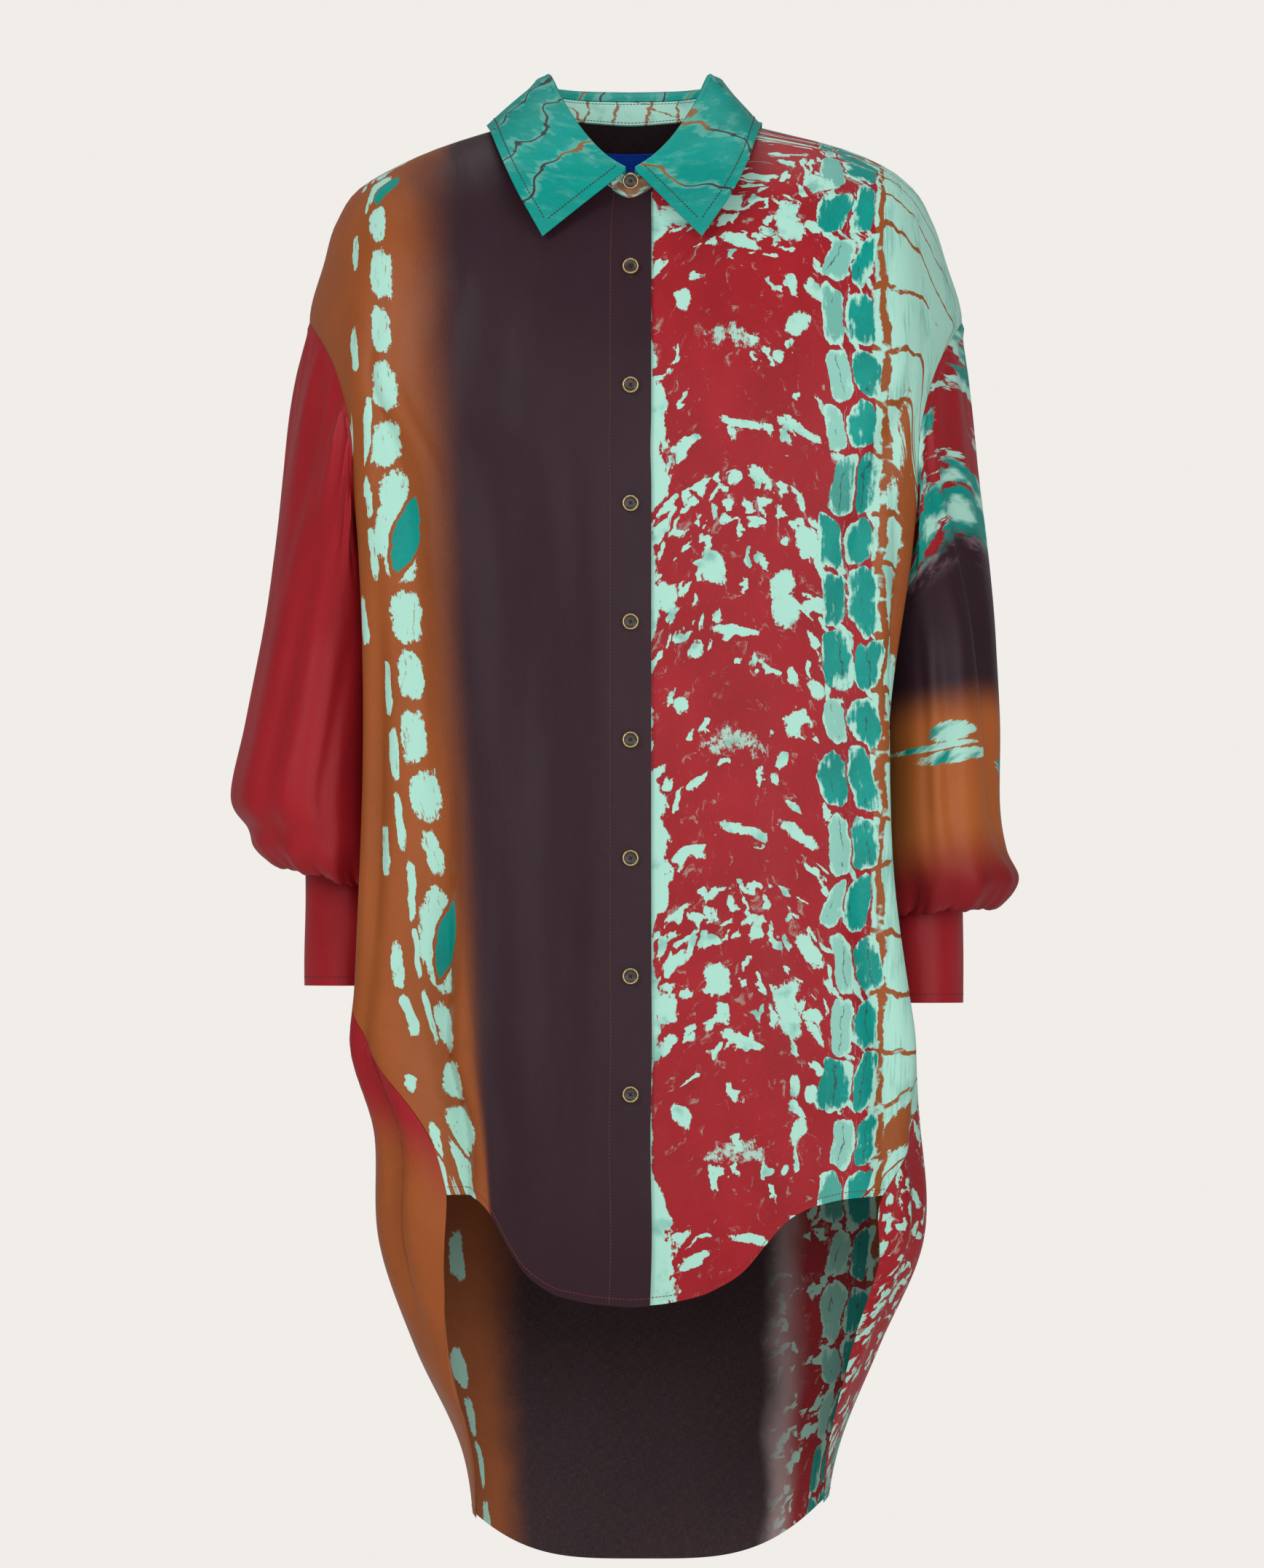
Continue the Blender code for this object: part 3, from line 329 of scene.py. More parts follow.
# A panel's side: its turn where it runs straight, how far it swings from there, over how much
# of the panel the swing fades, which way the panel lies, and whether it is sewn.
Side = namedtuple("Side", "home swing spread inside sewn")


def panel_places(sides, side_drops, hem, columns):
    """Rows of (turn, drop) for a panel between two sides, down to its hem."""
    shares = np.linspace(0, 1, columns + 1)
    nearness = (1 - shares, shares)

    def turns_at(drop):
        row = mix(sides[0].home(drop), sides[1].home(drop), shares)
        for side, near in zip(sides, nearness):
            row = row + side.swing(drop) * near ** side.spread
            if side.sewn:
                hole = hole_turns(drop) + seam_gap(drop)
                row = row + side.inside * hole * near ** HOLE_SPREAD
        return row

    shoulder = np.linspace(0, HOLE_TOP, SHOULDER_ROWS + 1)[:-1]
    turns = [turns_at(drop) for drop in shoulder]
    drops = [np.full(columns + 1, drop) for drop in shoulder]
    by_hole = sum(near ** HOLE_SPREAD * side.sewn for side, near in zip(sides, nearness))
    for at_hole, away in zip(*hole_drops()):
        turns.append(turns_at(at_hole))
        drops.append(mix(away, at_hole, by_hole))
    end = side_drops[-1]
    end_drops = hem(plain_trunk(turns_at(end), np.full(columns + 1, end))[:, 0])
    for column, side in zip((0, -1), sides):
        if side.sewn:
            end_drops[column] = end
    for side_drop in side_drops:
        share = (side_drop - HOLE_FOOT) / (end - HOLE_FOOT)
        turns.append(turns_at(side_drop))
        drops.append(mix(HOLE_FOOT, end_drops, share))
    return np.array(turns), np.array(drops)


def seam_gap(drop):
    """Half the room at a seam, in turns."""
    return SEAM_ROOM / mix(TURN_AT_NECK, TURN_ON_TRUNK, np.clip(drop / NECK_REACH, 0, 1))


def lapped(turn, drop, way):
    """Points of a front, standing out or sitting in near the centre by the lap."""
    aside = np.abs((turn + ROUND / 2) % ROUND - ROUND / 2)
    shift = way * LAP * (1 - smooth_step((aside - LAP_HOLD) / LAP_REACH))
    return trunk(turn, drop) + outward(plain_trunk, turn, drop) * shift[..., None]


# Meshes

def grid_normals(points, closed):
    """Unit normals of a grid of points, rows first: across the row, then down the column."""
    if closed:
        across = np.roll(points, -1, axis=1) - np.roll(points, 1, axis=1)
    else:
        across = np.gradient(points, axis=1)
    down = np.gradient(points, axis=0)
    return unit(np.cross(down, across))


def arc_length(points, axis):
    """Distance along each row or column of a grid of points."""
    steps = np.linalg.norm(np.diff(points, axis=axis), axis=-1)
    pad = [(0, 0), (0, 0)]
    pad[axis] = (1, 0)
    return np.cumsum(np.pad(steps, pad), axis=axis)


def link(name, mesh, materials):
    for surface in materials:
        mesh.materials.append(surface)
    made = bpy.data.objects.new(name, mesh)
    bpy.context.scene.collection.objects.link(made)
    return made


def grid_quads(rows, columns, closed):
    """The corners' numbers of each quad of a grid of points."""
    i, j = np.meshgrid(np.arange(rows - 1), np.arange(columns - (not closed)), indexing="ij")
    k = (j + 1) % columns
    return np.stack([i * columns + j, i * columns + k, (i + 1) * columns + k,
                     (i + 1) * columns + j], axis=-1).reshape(-1, 4)


def round_angles(count):
    return np.arange(count) * 2 * np.pi / count


def cloth_mesh(name, outer, inner, cloth, materials, closed=False):
    """A thin sheet between two grids of points. The first material is its face, the second
    its wrong side. `cloth` holds the flat place of each point: across, down, from the edge."""
    rows, columns = outer.shape[:2]
    last = columns if closed else columns - 1
    face = grid_quads(rows, columns, closed)
    a, b, c = (outer.reshape(-1, 3)[face[:, n]] for n in (0, 1, 3))
    out = (outer - inner).reshape(-1, 3)[face[:, 0]]
    if np.sum(np.cross(b - a, c - a) * out) < 0:
        face = face[:, ::-1]
    count = rows * columns
    rims = []
    for row in (0, rows - 1):
        start = row * columns + np.arange(last)
        end = row * columns + (np.arange(last) + 1) % columns
        rims.append(np.stack([start, end, end + count, start + count], axis=-1))
    if not closed:
        for column in (0, columns - 1):
            start = np.arange(rows - 1) * columns + column
            rims.append(np.stack([start, start + columns, start + columns + count,
                                  start + count], axis=-1))
    rim = np.concatenate(rims)
    faces = np.concatenate([face, face[:, ::-1] + count, rim])
    mesh = bpy.data.meshes.new(name)
    mesh.from_pydata(np.concatenate([outer.reshape(-1, 3), inner.reshape(-1, 3)]).tolist(), [],
                     faces.tolist())
    wrong_side = np.zeros(len(faces), np.int32)
    wrong_side[len(face):2 * len(face)] = 1
    mesh.polygons.foreach_set("material_index", wrong_side)
    flat = mesh.attributes.new("cloth", "FLOAT_VECTOR", "POINT")
    both = np.concatenate([cloth.reshape(-1, 3)] * 2).astype(np.float32)
    flat.data.foreach_set("vector", both.ravel())
    maker = bmesh.new()
    maker.from_mesh(mesh)
    rim_faces = [f for f in maker.faces if f.index >= 2 * len(face)]
    bmesh.ops.recalc_face_normals(maker, faces=maker.faces)
    for f in rim_faces:
        for e in f.edges:
            e.smooth = False
    maker.to_mesh(mesh)
    maker.free()
    mesh.shade_smooth()
    mesh.set_sharp_from_angle(angle=SHARP_ANGLE)
    return link(name, mesh, materials)


def lay(name, outer, normals, thickness, across, down, edge, materials, closed=False):
    """A sheet under a grid of points, and that grid with its normals. The places across,
    down and from the edge are the cloth's own, laid flat."""
    flat = np.stack(np.broadcast_arrays(across, down, edge), axis=-1)
    piece = cloth_mesh(name, outer, outer - normals * thickness, flat, materials, closed)
    return piece, outer, normals


def tree_of(points):
    """A tree of a grid's faces, for finding how near a point is to it."""
    quads = grid_quads(*points.shape[:2], closed=False)[:, [0, 3, 2, 1]]
    return BVHTree.FromPolygons([Vector(p) for p in points.reshape(-1, 3)], quads.tolist())


def kept_clear(points, tree, room):
    """Points moved out of the trunk until each is at least its `room` away from it."""
    moved = points.copy()
    for _ in range(2):
        for index in np.ndindex(points.shape[:2]):
            place = Vector(moved[index])
            near, out, _, _ = tree.find_nearest(place)
            height = (place - near).dot(out)
            if height < room[index]:
                moved[index] = place + out * (room[index] - height)
    return moved


# Sewing

def inset_line(points, normals, distance, edge):
    """Points and normals of a line on a grid, at a distance from its top, foot, start or end."""
    grids = []
    for grid in (points, normals):
        if edge in ("start", "end"):
            grid = grid.transpose(1, 0, 2)
        grids.append(grid[::-1] if edge in ("foot", "end") else grid)
    lengths = arc_length(grids[0], 0)
    line = [np.array([[np.interp(distance, lengths[:, j], grid[:, j, n]) for n in range(3)]
                      for j in range(grid.shape[1])]) for grid in grids]
    return line[0], unit(line[1])


def trimmed(line, start, end):
    """A line without its first and last stretch, in metres."""
    points, normals = line
    length = arc_length(points[:, None], 0)[:, 0]
    kept = (length >= start) & (length <= length[-1] - end)
    return points[kept], normals[kept]


def stitch_segments(line, pitch, share):
    """Where each stitch along a line starts and ends, and which way is up from the cloth."""
    points, normals = line
    length = arc_length(points[:, None], 0)[:, 0]
    starts = (np.arange(int(length[-1] / pitch)) + (1 - share) / 2) * pitch
    places = [np.stack([np.interp(at, length, source[:, n]) for n in range(3)], axis=-1)
              for at, source in ((starts, points), (starts + pitch * share, points),
                                 (starts + pitch * share / 2, normals))]
    return np.stack(places, axis=1)


# A stitch's outline: share of its length, share of its thickness, and how far it stands out
STITCH_BENDS = ((-0.5, 0.4, -0.7), (-0.34, 1.0, 0.1), (0.34, 1.0, 0.1), (0.5, 0.4, -0.7))
STITCH_SIDES = 5


def threads(name, segments, width, surface):
    """Raised stitches between the given ends, as one piece."""
    segments = np.concatenate(segments)
    start, end, up = segments[:, 0], segments[:, 1], segments[:, 2]
    along = unit(end - start)
    side = unit(np.cross(up, along))
    up = np.cross(along, side)
    length = np.linalg.norm(end - start, axis=1)
    form = np.array([[(t, w * math.cos(a), w * math.sin(a) + h) for a in
                      round_angles(STITCH_SIDES)] for t, w, h in STITCH_BENDS]).reshape(-1, 3)
    radius = width / 2
    points = ((start + end) / 2)[:, None] + (
        form[None, :, :1] * (length[:, None, None] * along[:, None])
        + form[None, :, 1:2] * radius * side[:, None]
        + form[None, :, 2:] * radius * up[:, None])
    skin = grid_quads(len(STITCH_BENDS), STITCH_SIDES, closed=True)
    shift = (np.arange(len(segments)) * len(form))[:, None, None]
    faces = (skin + shift).reshape(-1, 4).tolist()
    cap = np.arange(STITCH_SIDES)
    faces += (cap[::-1] + shift[:, 0]).tolist()
    faces += (cap + len(form) - STITCH_SIDES + shift[:, 0]).tolist()
    mesh = bpy.data.meshes.new(name)
    mesh.from_pydata(points.reshape(-1, 3).tolist(), [], faces)
    mesh.shade_smooth()
    return link(name, mesh, [surface])


def stitches(name, lines, surface, width=None):
    """A row of stitches along each line."""
    pitch, share = sizes().stitch_pitch, sizes().stitch_share
    return threads(name, [stitch_segments(line, pitch, share) for line in lines],
                   width or sizes().thread_width, surface)


# Node trees as expressions

def arithmetic(operation, reflected=False):
    """A method that adds one maths node, its inputs the other way round if reflected."""
    def method(wire, *others):
        return wire.maths(operation, *((*others, wire) if reflected else (wire, *others)))
    return method


class Wire:
    """A socket in a material's nodes. Arithmetic on it adds the nodes that work it out."""

    __add__, __radd__ = arithmetic("ADD"), arithmetic("ADD", True)
    __sub__, __rsub__ = arithmetic("SUBTRACT"), arithmetic("SUBTRACT", True)
    __mul__, __rmul__ = arithmetic("MULTIPLY"), arithmetic("MULTIPLY", True)
    __truediv__, __pow__ = arithmetic("DIVIDE"), arithmetic("POWER")
    __abs__, floor, part = arithmetic("ABSOLUTE"), arithmetic("FLOOR"), arithmetic("FRACT")
    lower_of, higher_of = arithmetic("MINIMUM"), arithmetic("MAXIMUM")

    def __init__(self, tree, socket):
        self.tree, self.socket = tree, socket

    def maths(self, operation, *values):
        return self.tree.add("ShaderNodeMath", {"operation": operation},
                             dict(enumerate(values)))

    def rise(self, start, end):
        """0 before start, 1 after end, smooth between. It falls where end is below start."""
        first, last, low, high = (start, end, 0.0, 1.0) if start < end else (end, start, 1.0, 0.0)
        return self.tree.add("ShaderNodeMapRange", {"interpolation_type": "SMOOTHSTEP"},
                             {"Value": self, "From Min": first, "From Max": last,
                              "To Min": low, "To Max": high})


class Finish:
    """The nodes of one material."""

    def __init__(self, name):
        self.material = bpy.data.materials.new(name)
        self.material.use_nodes = True
        self.nodes = self.material.node_tree.nodes
        self.links = self.material.node_tree.links
        self.shader = self.nodes["Principled BSDF"]

    def add(self, kind, settings=None, sockets=None, output=0):
        """A node of a type, with its settings, then the values or wires of its sockets."""
        node = self.nodes.new(kind)
        for name, value in (settings or {}).items():
            setattr(node, name, value)
        for name, value in (sockets or {}).items():
            self.put(node.inputs[name], value)
        return Wire(self, node.outputs[output])

    def put(self, socket, value):
        if isinstance(value, Wire):
            self.links.new(value.socket, socket)
        else:
            socket.default_value = value

    def feed(self, **sockets):
        """Sets the shader's sockets, with spaces in their names written as underscores."""
        for name, value in sockets.items():
            self.put(self.shader.inputs[name.replace("_", " ")], value)
        return self.material

    def flat_place(self):
        """The three parts of the cloth's flat place. The first two are kept for the prints."""
        place = self.add("ShaderNodeAttribute", {"attribute_name": "cloth"}, output=1)
        self.across, self.down, last = [
            self.add("ShaderNodeSeparateXYZ", None, {0: place}, n) for n in range(3)]
        return self.across, self.down, last

    def vector(self, x, y, z=0.0):
        return self.add("ShaderNodeCombineXYZ", None, {0: x, 1: y, 2: z})

    def noise(self, u, v, wide, tall, seed, detail=2.0, roughness=0.5):
        """Noise from about -0.5 to 0.5 in clouds of the given size, in metres."""
        place = self.add("ShaderNodeVectorMath", {"operation": "MULTIPLY_ADD"}, {
            0: self.vector(u, v), 1: (1 / wide, 1 / tall, 0), 2: (seed * 7.3, seed * 3.1, 0)})
        return self.add("ShaderNodeTexNoise", {"noise_dimensions": "2D"}, {
            "Vector": place, "Scale": 1.0, "Detail": detail, "Roughness": roughness}) - 0.5

    def clouds(self, *cloud, **more):
        """Noise by the cloth's own flat place."""
        return self.noise(self.across, self.down, *cloud, **more)

    def chance(self, x, y=0.0):
        """Three random numbers from 0 to 1 for a whole-numbered place."""
        colour = self.add("ShaderNodeTexWhiteNoise", {"noise_dimensions": "2D"},
                          {"Vector": self.vector(x, y)}, 1)
        return [self.add("ShaderNodeSeparateColor", None, {0: colour}, n) for n in range(3)]

    def levels(self, place, stops):
        """A value that goes smoothly through the stops as place goes from 0 to 1."""
        ramp = self.add("ShaderNodeValToRGB", None, {"Fac": place})
        marks = ramp.socket.node.color_ramp.elements
        marks[0].position, marks[1].position = stops[0][0], stops[1][0]
        for at, _ in stops[2:]:
            marks.new(at)
        for mark, (_, level) in zip(marks, sorted(stops)):
            mark.color = (level, level, level, 1)
        return ramp

    def blend(self, first, second, share, way="MIX"):
        return self.add("ShaderNodeMix", {"data_type": "RGBA", "blend_type": way},
                        {0: share, 6: first, 7: second}, 2)

    def bump(self, height, distance, normal=None):
        sockets = {"Height": height, "Distance": distance, "Strength": 1.0}
        if normal:
            sockets["Normal"] = normal
        return self.add("ShaderNodeBump", None, sockets)


# What a user would change

def colour(name, description, *default):
    return FloatVectorProperty(name=name, description=description, subtype="COLOR",
                               default=default)


def length(name, description, default, least, most, precision=5):
    return FloatProperty(name=name, description=description, default=default, min=least,
                         max=most, unit="LENGTH", precision=precision)


class ShirtColours(PropertyGroup):
    """Dyes and metals of the shirt."""

    aubergine: colour("Aubergine", "Dye of the right front's middle and the back",
                      0.027, 0.0105, 0.0165)
    rust: colour("Rust", "Dye that the aubergine shades into", 0.290, 0.076, 0.018)
    red: colour("Red", "Dye of the left front, the right sleeve and the cuffs",
                0.3, 0.0115, 0.0175)
    mint: colour("Mint", "Palest silk, where the dye was kept off", 0.370, 0.665, 0.560)
    turquoise: colour("Turquoise", "Dye of the collar and of the cells down the left side",
                      0.001, 0.25, 0.21)
    # The label's bright blue is its own colour, set brighter still to offset the shade inside the
    # neck: partly painted light.
    label: colour("Label", "The bare label in the neck", 0.010, 0.125, 1.0)
    brass: colour("Brass", "The buttons' rims", 0.560, 0.420, 0.210)
    horn: colour("Horn", "The buttons' dark middles", 0.030, 0.018, 0.012)


class ShirtSizes(PropertyGroup):
    """Sizes of the cloth and of the sewing."""

    silk_thickness: length("Silk", "Thickness of one layer of silk as it is laid",
                           0.0005, 0.0002, 0.0015)
    stiff_thickness: length("Stiffened", "Thickness of the collar, its stand and the cuffs",
                            0.0013, 0.0005, 0.002)
    hem_inset: length("Hem stitching", "How far a hem's stitching lies from its edge",
                      0.006, 0.002, 0.02, 4)
    collar_inset: length("Collar stitching", "How far the collar's stitching lies from its edge",
                         0.008, 0.002, 0.02, 4)
    placket_width: length("Placket", "From the front's edge to its topstitching",
                          0.031, 0.015, 0.05, 4)
    stitch_pitch: length("Stitch", "Length from one stitch to the next", 0.0027, 0.001, 0.006)
    stitch_share: FloatProperty(
        name="Stitch share", description="Share of the pitch that shows as thread",
        default=0.80, min=0.3, max=1.0, subtype="FACTOR")
    thread_width: length("Thread", "Width of the sewing thread", 0.0006, 0.0001, 0.001)
    button_holes: IntProperty(
        name="Button holes", description="How many holes each button has", default=4, min=2, max=4)


def colours():
    return bpy.context.scene.shirt_colours


def sizes():
    return bpy.context.scene.shirt_sizes


def dye(name):
    return (*getattr(colours(), name), 1)


def dress(piece, node):
    """A sheet that stands for a node: it rides with the body, and the node's part is hidden."""
    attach(piece, BODY)
    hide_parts(node)


def trim(piece, slot, *nodes):
    """A small piece that goes on the cloth."""
    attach(piece, BODY)
    if nodes:
        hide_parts(*nodes)
    return piece


# Prints. Each reads the finish's flat place on the cloth and gives the dyed colour; the back's
# also holds a band of painted highlight.

REPEAT = 0.309               # the left front's pattern down the cloth
CELL_PITCH = 0.0455
VEIN = (0.04, 0.016, 0.024, 1)


def uneven(finish, colour, depth=0.3, across=None):
    """A dye, by its name or colour, that took unevenly, in clouds and in fine upright streaks."""
    colour = dye(colour) if isinstance(colour, str) else colour
    across = across or finish.across
    clouds = finish.noise(across, finish.down, 0.05, 0.07, 1, detail=4, roughness=0.6)
    grain = finish.noise(across, finish.down, 0.0012, 0.004, 2, detail=2)
    light = 1.0 + clouds * depth + grain * depth * 0.4
    return finish.blend(colour, finish.vector(light, light, light), 1.0, "MULTIPLY")


def brushed(finish, wide=0.0013, tall=0.0034):
    """Grain of a dry brush, and the raggedness that it gives to the edge of a mark."""
    fine = finish.clouds(wide, tall, 3, detail=3, roughness=0.7)
    return fine, fine * 0.9 + finish.clouds(0.0065, 0.0065, 8, detail=4,
                                           roughness=0.62) * 1.5


def blot(u, v, half_u, half_v, lean=0.0, power=2.2):
    """1 in the middle of a blot, 0 at its edge and below 0 outside."""
    return 1.0 - abs((u - v * lean) / half_u) ** power - abs(v / half_v) ** power


def repeated(v, place, repeat):
    """Distance down the cloth from the nearest repeat of a place."""
    return (((v - place) / repeat + 0.5).part() - 0.5) * repeat


def dabs(finish, u, v, centre, half, pitch, seed, share=1.0):
    """A column of brushed dabs, each with its own width and slant. A share of them is there."""
    row = v / pitch + seed * 0.37
    tall = row.part() - 0.5
    a, b, c = finish.chance(row.floor(), seed)
    aside = u - centre - (a - 0.5) * half * 0.7
    field = blot(aside / (half * (b * 0.35 + 0.8)), tall - (c - 0.5) * 0.08, 1.0, 0.42,
                 (c - 0.5) * 0.9, 3.0)
    return field - ((a * 11.0 + c * 5.0).part() - share).rise(0.0, 0.02) * 5.0


def strokes(finish, u, v, wide, tall, share, seed):
    """Small dabs at uneven places, one to each wide by tall of cloth where share is 1."""
    row = v / tall
    column = u / wide + row.floor() * 0.41
    a, b, c = finish.chance(column.floor(), row.floor() + seed * 97)
    field = blot(column.part() - 0.5 + (a - 0.5) * 0.2, row.part() - 0.5 + (b - 0.5) * 0.16,
                 b * 0.15 + 0.2, c * 0.14 + 0.26, (c - 0.5) * 0.8, 2.4)
    return field - ((a * 13.0 + c * 7.0).part() - share).rise(0.0, 0.02) * 5.0


def right_front_print(finish):
    """Aubergine shading into rust, with a column of mint blotches down the rust."""
    across, down = finish.across, finish.down
    fine, ragged = brushed(finish, 0.0011, 0.006)
    u = across + finish.clouds(0.03, 0.04, 1) * 0.01
    v = down + finish.clouds(0.024, 0.03, 5) * 0.014
    edge = across + finish.clouds(0.07, 0.18, 2, detail=3) * 0.02 + fine * 0.01
    ground = finish.blend(dye("aubergine"), dye("rust"), edge.rise(0.136, 0.200))
    ground = uneven(finish, ground)
    from_spot = repeated(down, 0.316, 0.306)
    main = dabs(finish, u, v, 0.207, 0.0122, 0.045, 3) + ragged * 1.3
    thin = dabs(finish, u, v, 0.227, 0.0036, 0.051, 11, 0.62) + ragged
    outer = dabs(finish, u, v, 0.244, 0.0052, 0.043, 7, 0.55) + ragged
    beside = blot(u - 0.213, from_spot + 0.006, 0.011, 0.026, 0.15, 2.6) + ragged
    worn = finish.noise(u, v, 0.0042, 0.02, 9, detail=3, roughness=0.6)
    mint = main.higher_of(thin).higher_of(outer).higher_of(beside).rise(0.0, 0.2)
    mint = mint * (1.0 - (worn + fine * 0.5).rise(0.15, 0.24) * 0.75) * across.rise(0.18, 0.188)
    rhomb = blot(u - 0.1985, from_spot, 0.0108, 0.03, 0.34, 1.6)
    rim = (rhomb + ragged * 0.25).rise(-0.42, -0.36)
    printed = finish.blend(ground, dye("mint"), mint * (1.0 - rim))
    spot = (rhomb + ragged * 0.25).rise(0.0, 0.05)
    return finish.blend(printed, uneven(finish, "turquoise", 0.5), spot)


def speckled_red(finish, u, v, share, ragged):
    """Mint brush strokes, as many as told, and the faint traces of more."""
    u, v = (place + finish.noise(u, v, 0.012, 0.012, seed, detail=2) * 0.016
            for place, seed in ((u, 15), (v, 16)))
    upright = strokes(finish, u, v, 0.0125, 0.02, share, 1)
    level = strokes(finish, u, v, 0.024, 0.012, share * 0.6, 2)
    field = (upright.higher_of(level) + ragged * 1.5).rise(0.0, 0.45)
    traces = finish.noise(u, v, 0.009, 0.014, 11, detail=5, roughness=0.66) + share * 0.05
    return field.higher_of((traces + ragged * 0.1).rise(0.12, 0.26) * 0.34)


# Larger blots of the left front: across, down, half sizes, slant of the upright ones and
# slope of the level ones
BLOTS = (
    (0.118, 0.064, 0.0115, 0.0140, 0.1, 0.0), (0.138, 0.062, 0.0090, 0.0060, 0.0, 0.2),
    (0.079, 0.080, 0.0170, 0.0048, 0.0, 0.3), (0.122, 0.114, 0.0050, 0.0090, 0.2, 0.0),
    (0.038, 0.137, 0.0064, 0.0084, 0.1, 0.0), (0.126, 0.150, 0.0080, 0.0105, -0.2, 0.0),
    (0.140, 0.124, 0.0066, 0.0080, 0.3, 0.0), (0.113, 0.178, 0.0042, 0.0060, -0.3, 0.0),
    (0.085, 0.231, 0.0190, 0.0050, 0.0, 0.2), (0.128, 0.234, 0.0150, 0.0050, 0.0, 0.6),
    (0.042, 0.248, 0.0120, 0.0045, 0.0, -0.5), (0.063, 0.343, 0.0100, 0.0130, 0.3, 0.0),
    (0.115, 0.355, 0.0100, 0.0130, -0.2, 0.0), (0.027, 0.364, 0.0080, 0.0120, 0.1, 0.0),
    (0.136, 0.322, 0.0090, 0.0150, 0.5, 0.0),
)


def left_front_print(finish):
    """Red with arched rows of mint strokes, then resist cells and barred mint by the side."""
    across, down = finish.across, finish.down
    fine, ragged = brushed(finish)
    u = across + finish.clouds(0.022, 0.032, 1, detail=4) * 0.012
    v = down + finish.clouds(0.034, 0.022, 5, detail=4) * 0.014
    arched = v + 0.036 - ((u - 0.085) / 0.065) ** 2.0 * 0.036
    share = finish.levels(((arched - 0.2688) / REPEAT + 1.0).part(), (
        (0.0, 0.38), (0.03, 0.25), (0.05, 0.0), (0.1, 0.0), (0.12, 0.85), (0.2, 0.8),
        (0.25, 0.62), (0.275, 0.1), (0.3, 0.2), (0.325, 0.6), (0.4, 0.6), (0.45, 0.45),
        (0.55, 0.25), (0.6, 0.1), (0.72, 0.08), (0.8, 0.24), (0.88, 0.24), (0.94, 0.16),
        (1.0, 0.38)))
    mint = speckled_red(finish, u, arched, share, ragged)
    for place_u, place_v, half_u, half_v, lean, slope in BLOTS:
        aside = u - place_u
        field = blot(aside, repeated(v - aside * slope, place_v, REPEAT), half_u, half_v, lean)
        mint = mint.higher_of((field + ragged * 1.1).rise(0.0, 0.3))
    arch = repeated(v - abs(u - 0.074) * 0.35, 0.16, REPEAT)
    soft = blot(u - 0.076, arch, 0.022, 0.0085) * 0.5 + ragged * 1.6
    mint = mint.higher_of(soft.rise(0.0, 0.55) * 0.85)
    strip = finish.levels((down / REPEAT).part(), (
        (0.0, 0.0), (0.18, 0.5), (0.24, 0.6), (0.29, 0.0), (0.58, 0.05), (0.64, 0.45),
        (0.7, 0.95), (0.93, 0.95), (0.97, 0.3), (1.0, 0.0)))
    wander = finish.clouds(0.009, 0.016, 23, detail=4, roughness=0.6)
    by_edge = (0.015 + strip * 0.0135 - u + wander * 0.022 * strip + ragged * 0.003)
    mint = mint.higher_of(by_edge.rise(0.0, 0.0012))
    red = uneven(finish, "red", 0.5)
    tint = finish.clouds(0.024, 0.024, 6, detail=3).rise(0.04, 0.26)
    pale = finish.blend(dye("mint"), dye("turquoise"), tint * 0.5)
    inner = finish.blend(red, pale, mint)
    return resist_cells(finish, inner, across, down, u, fine, ragged)


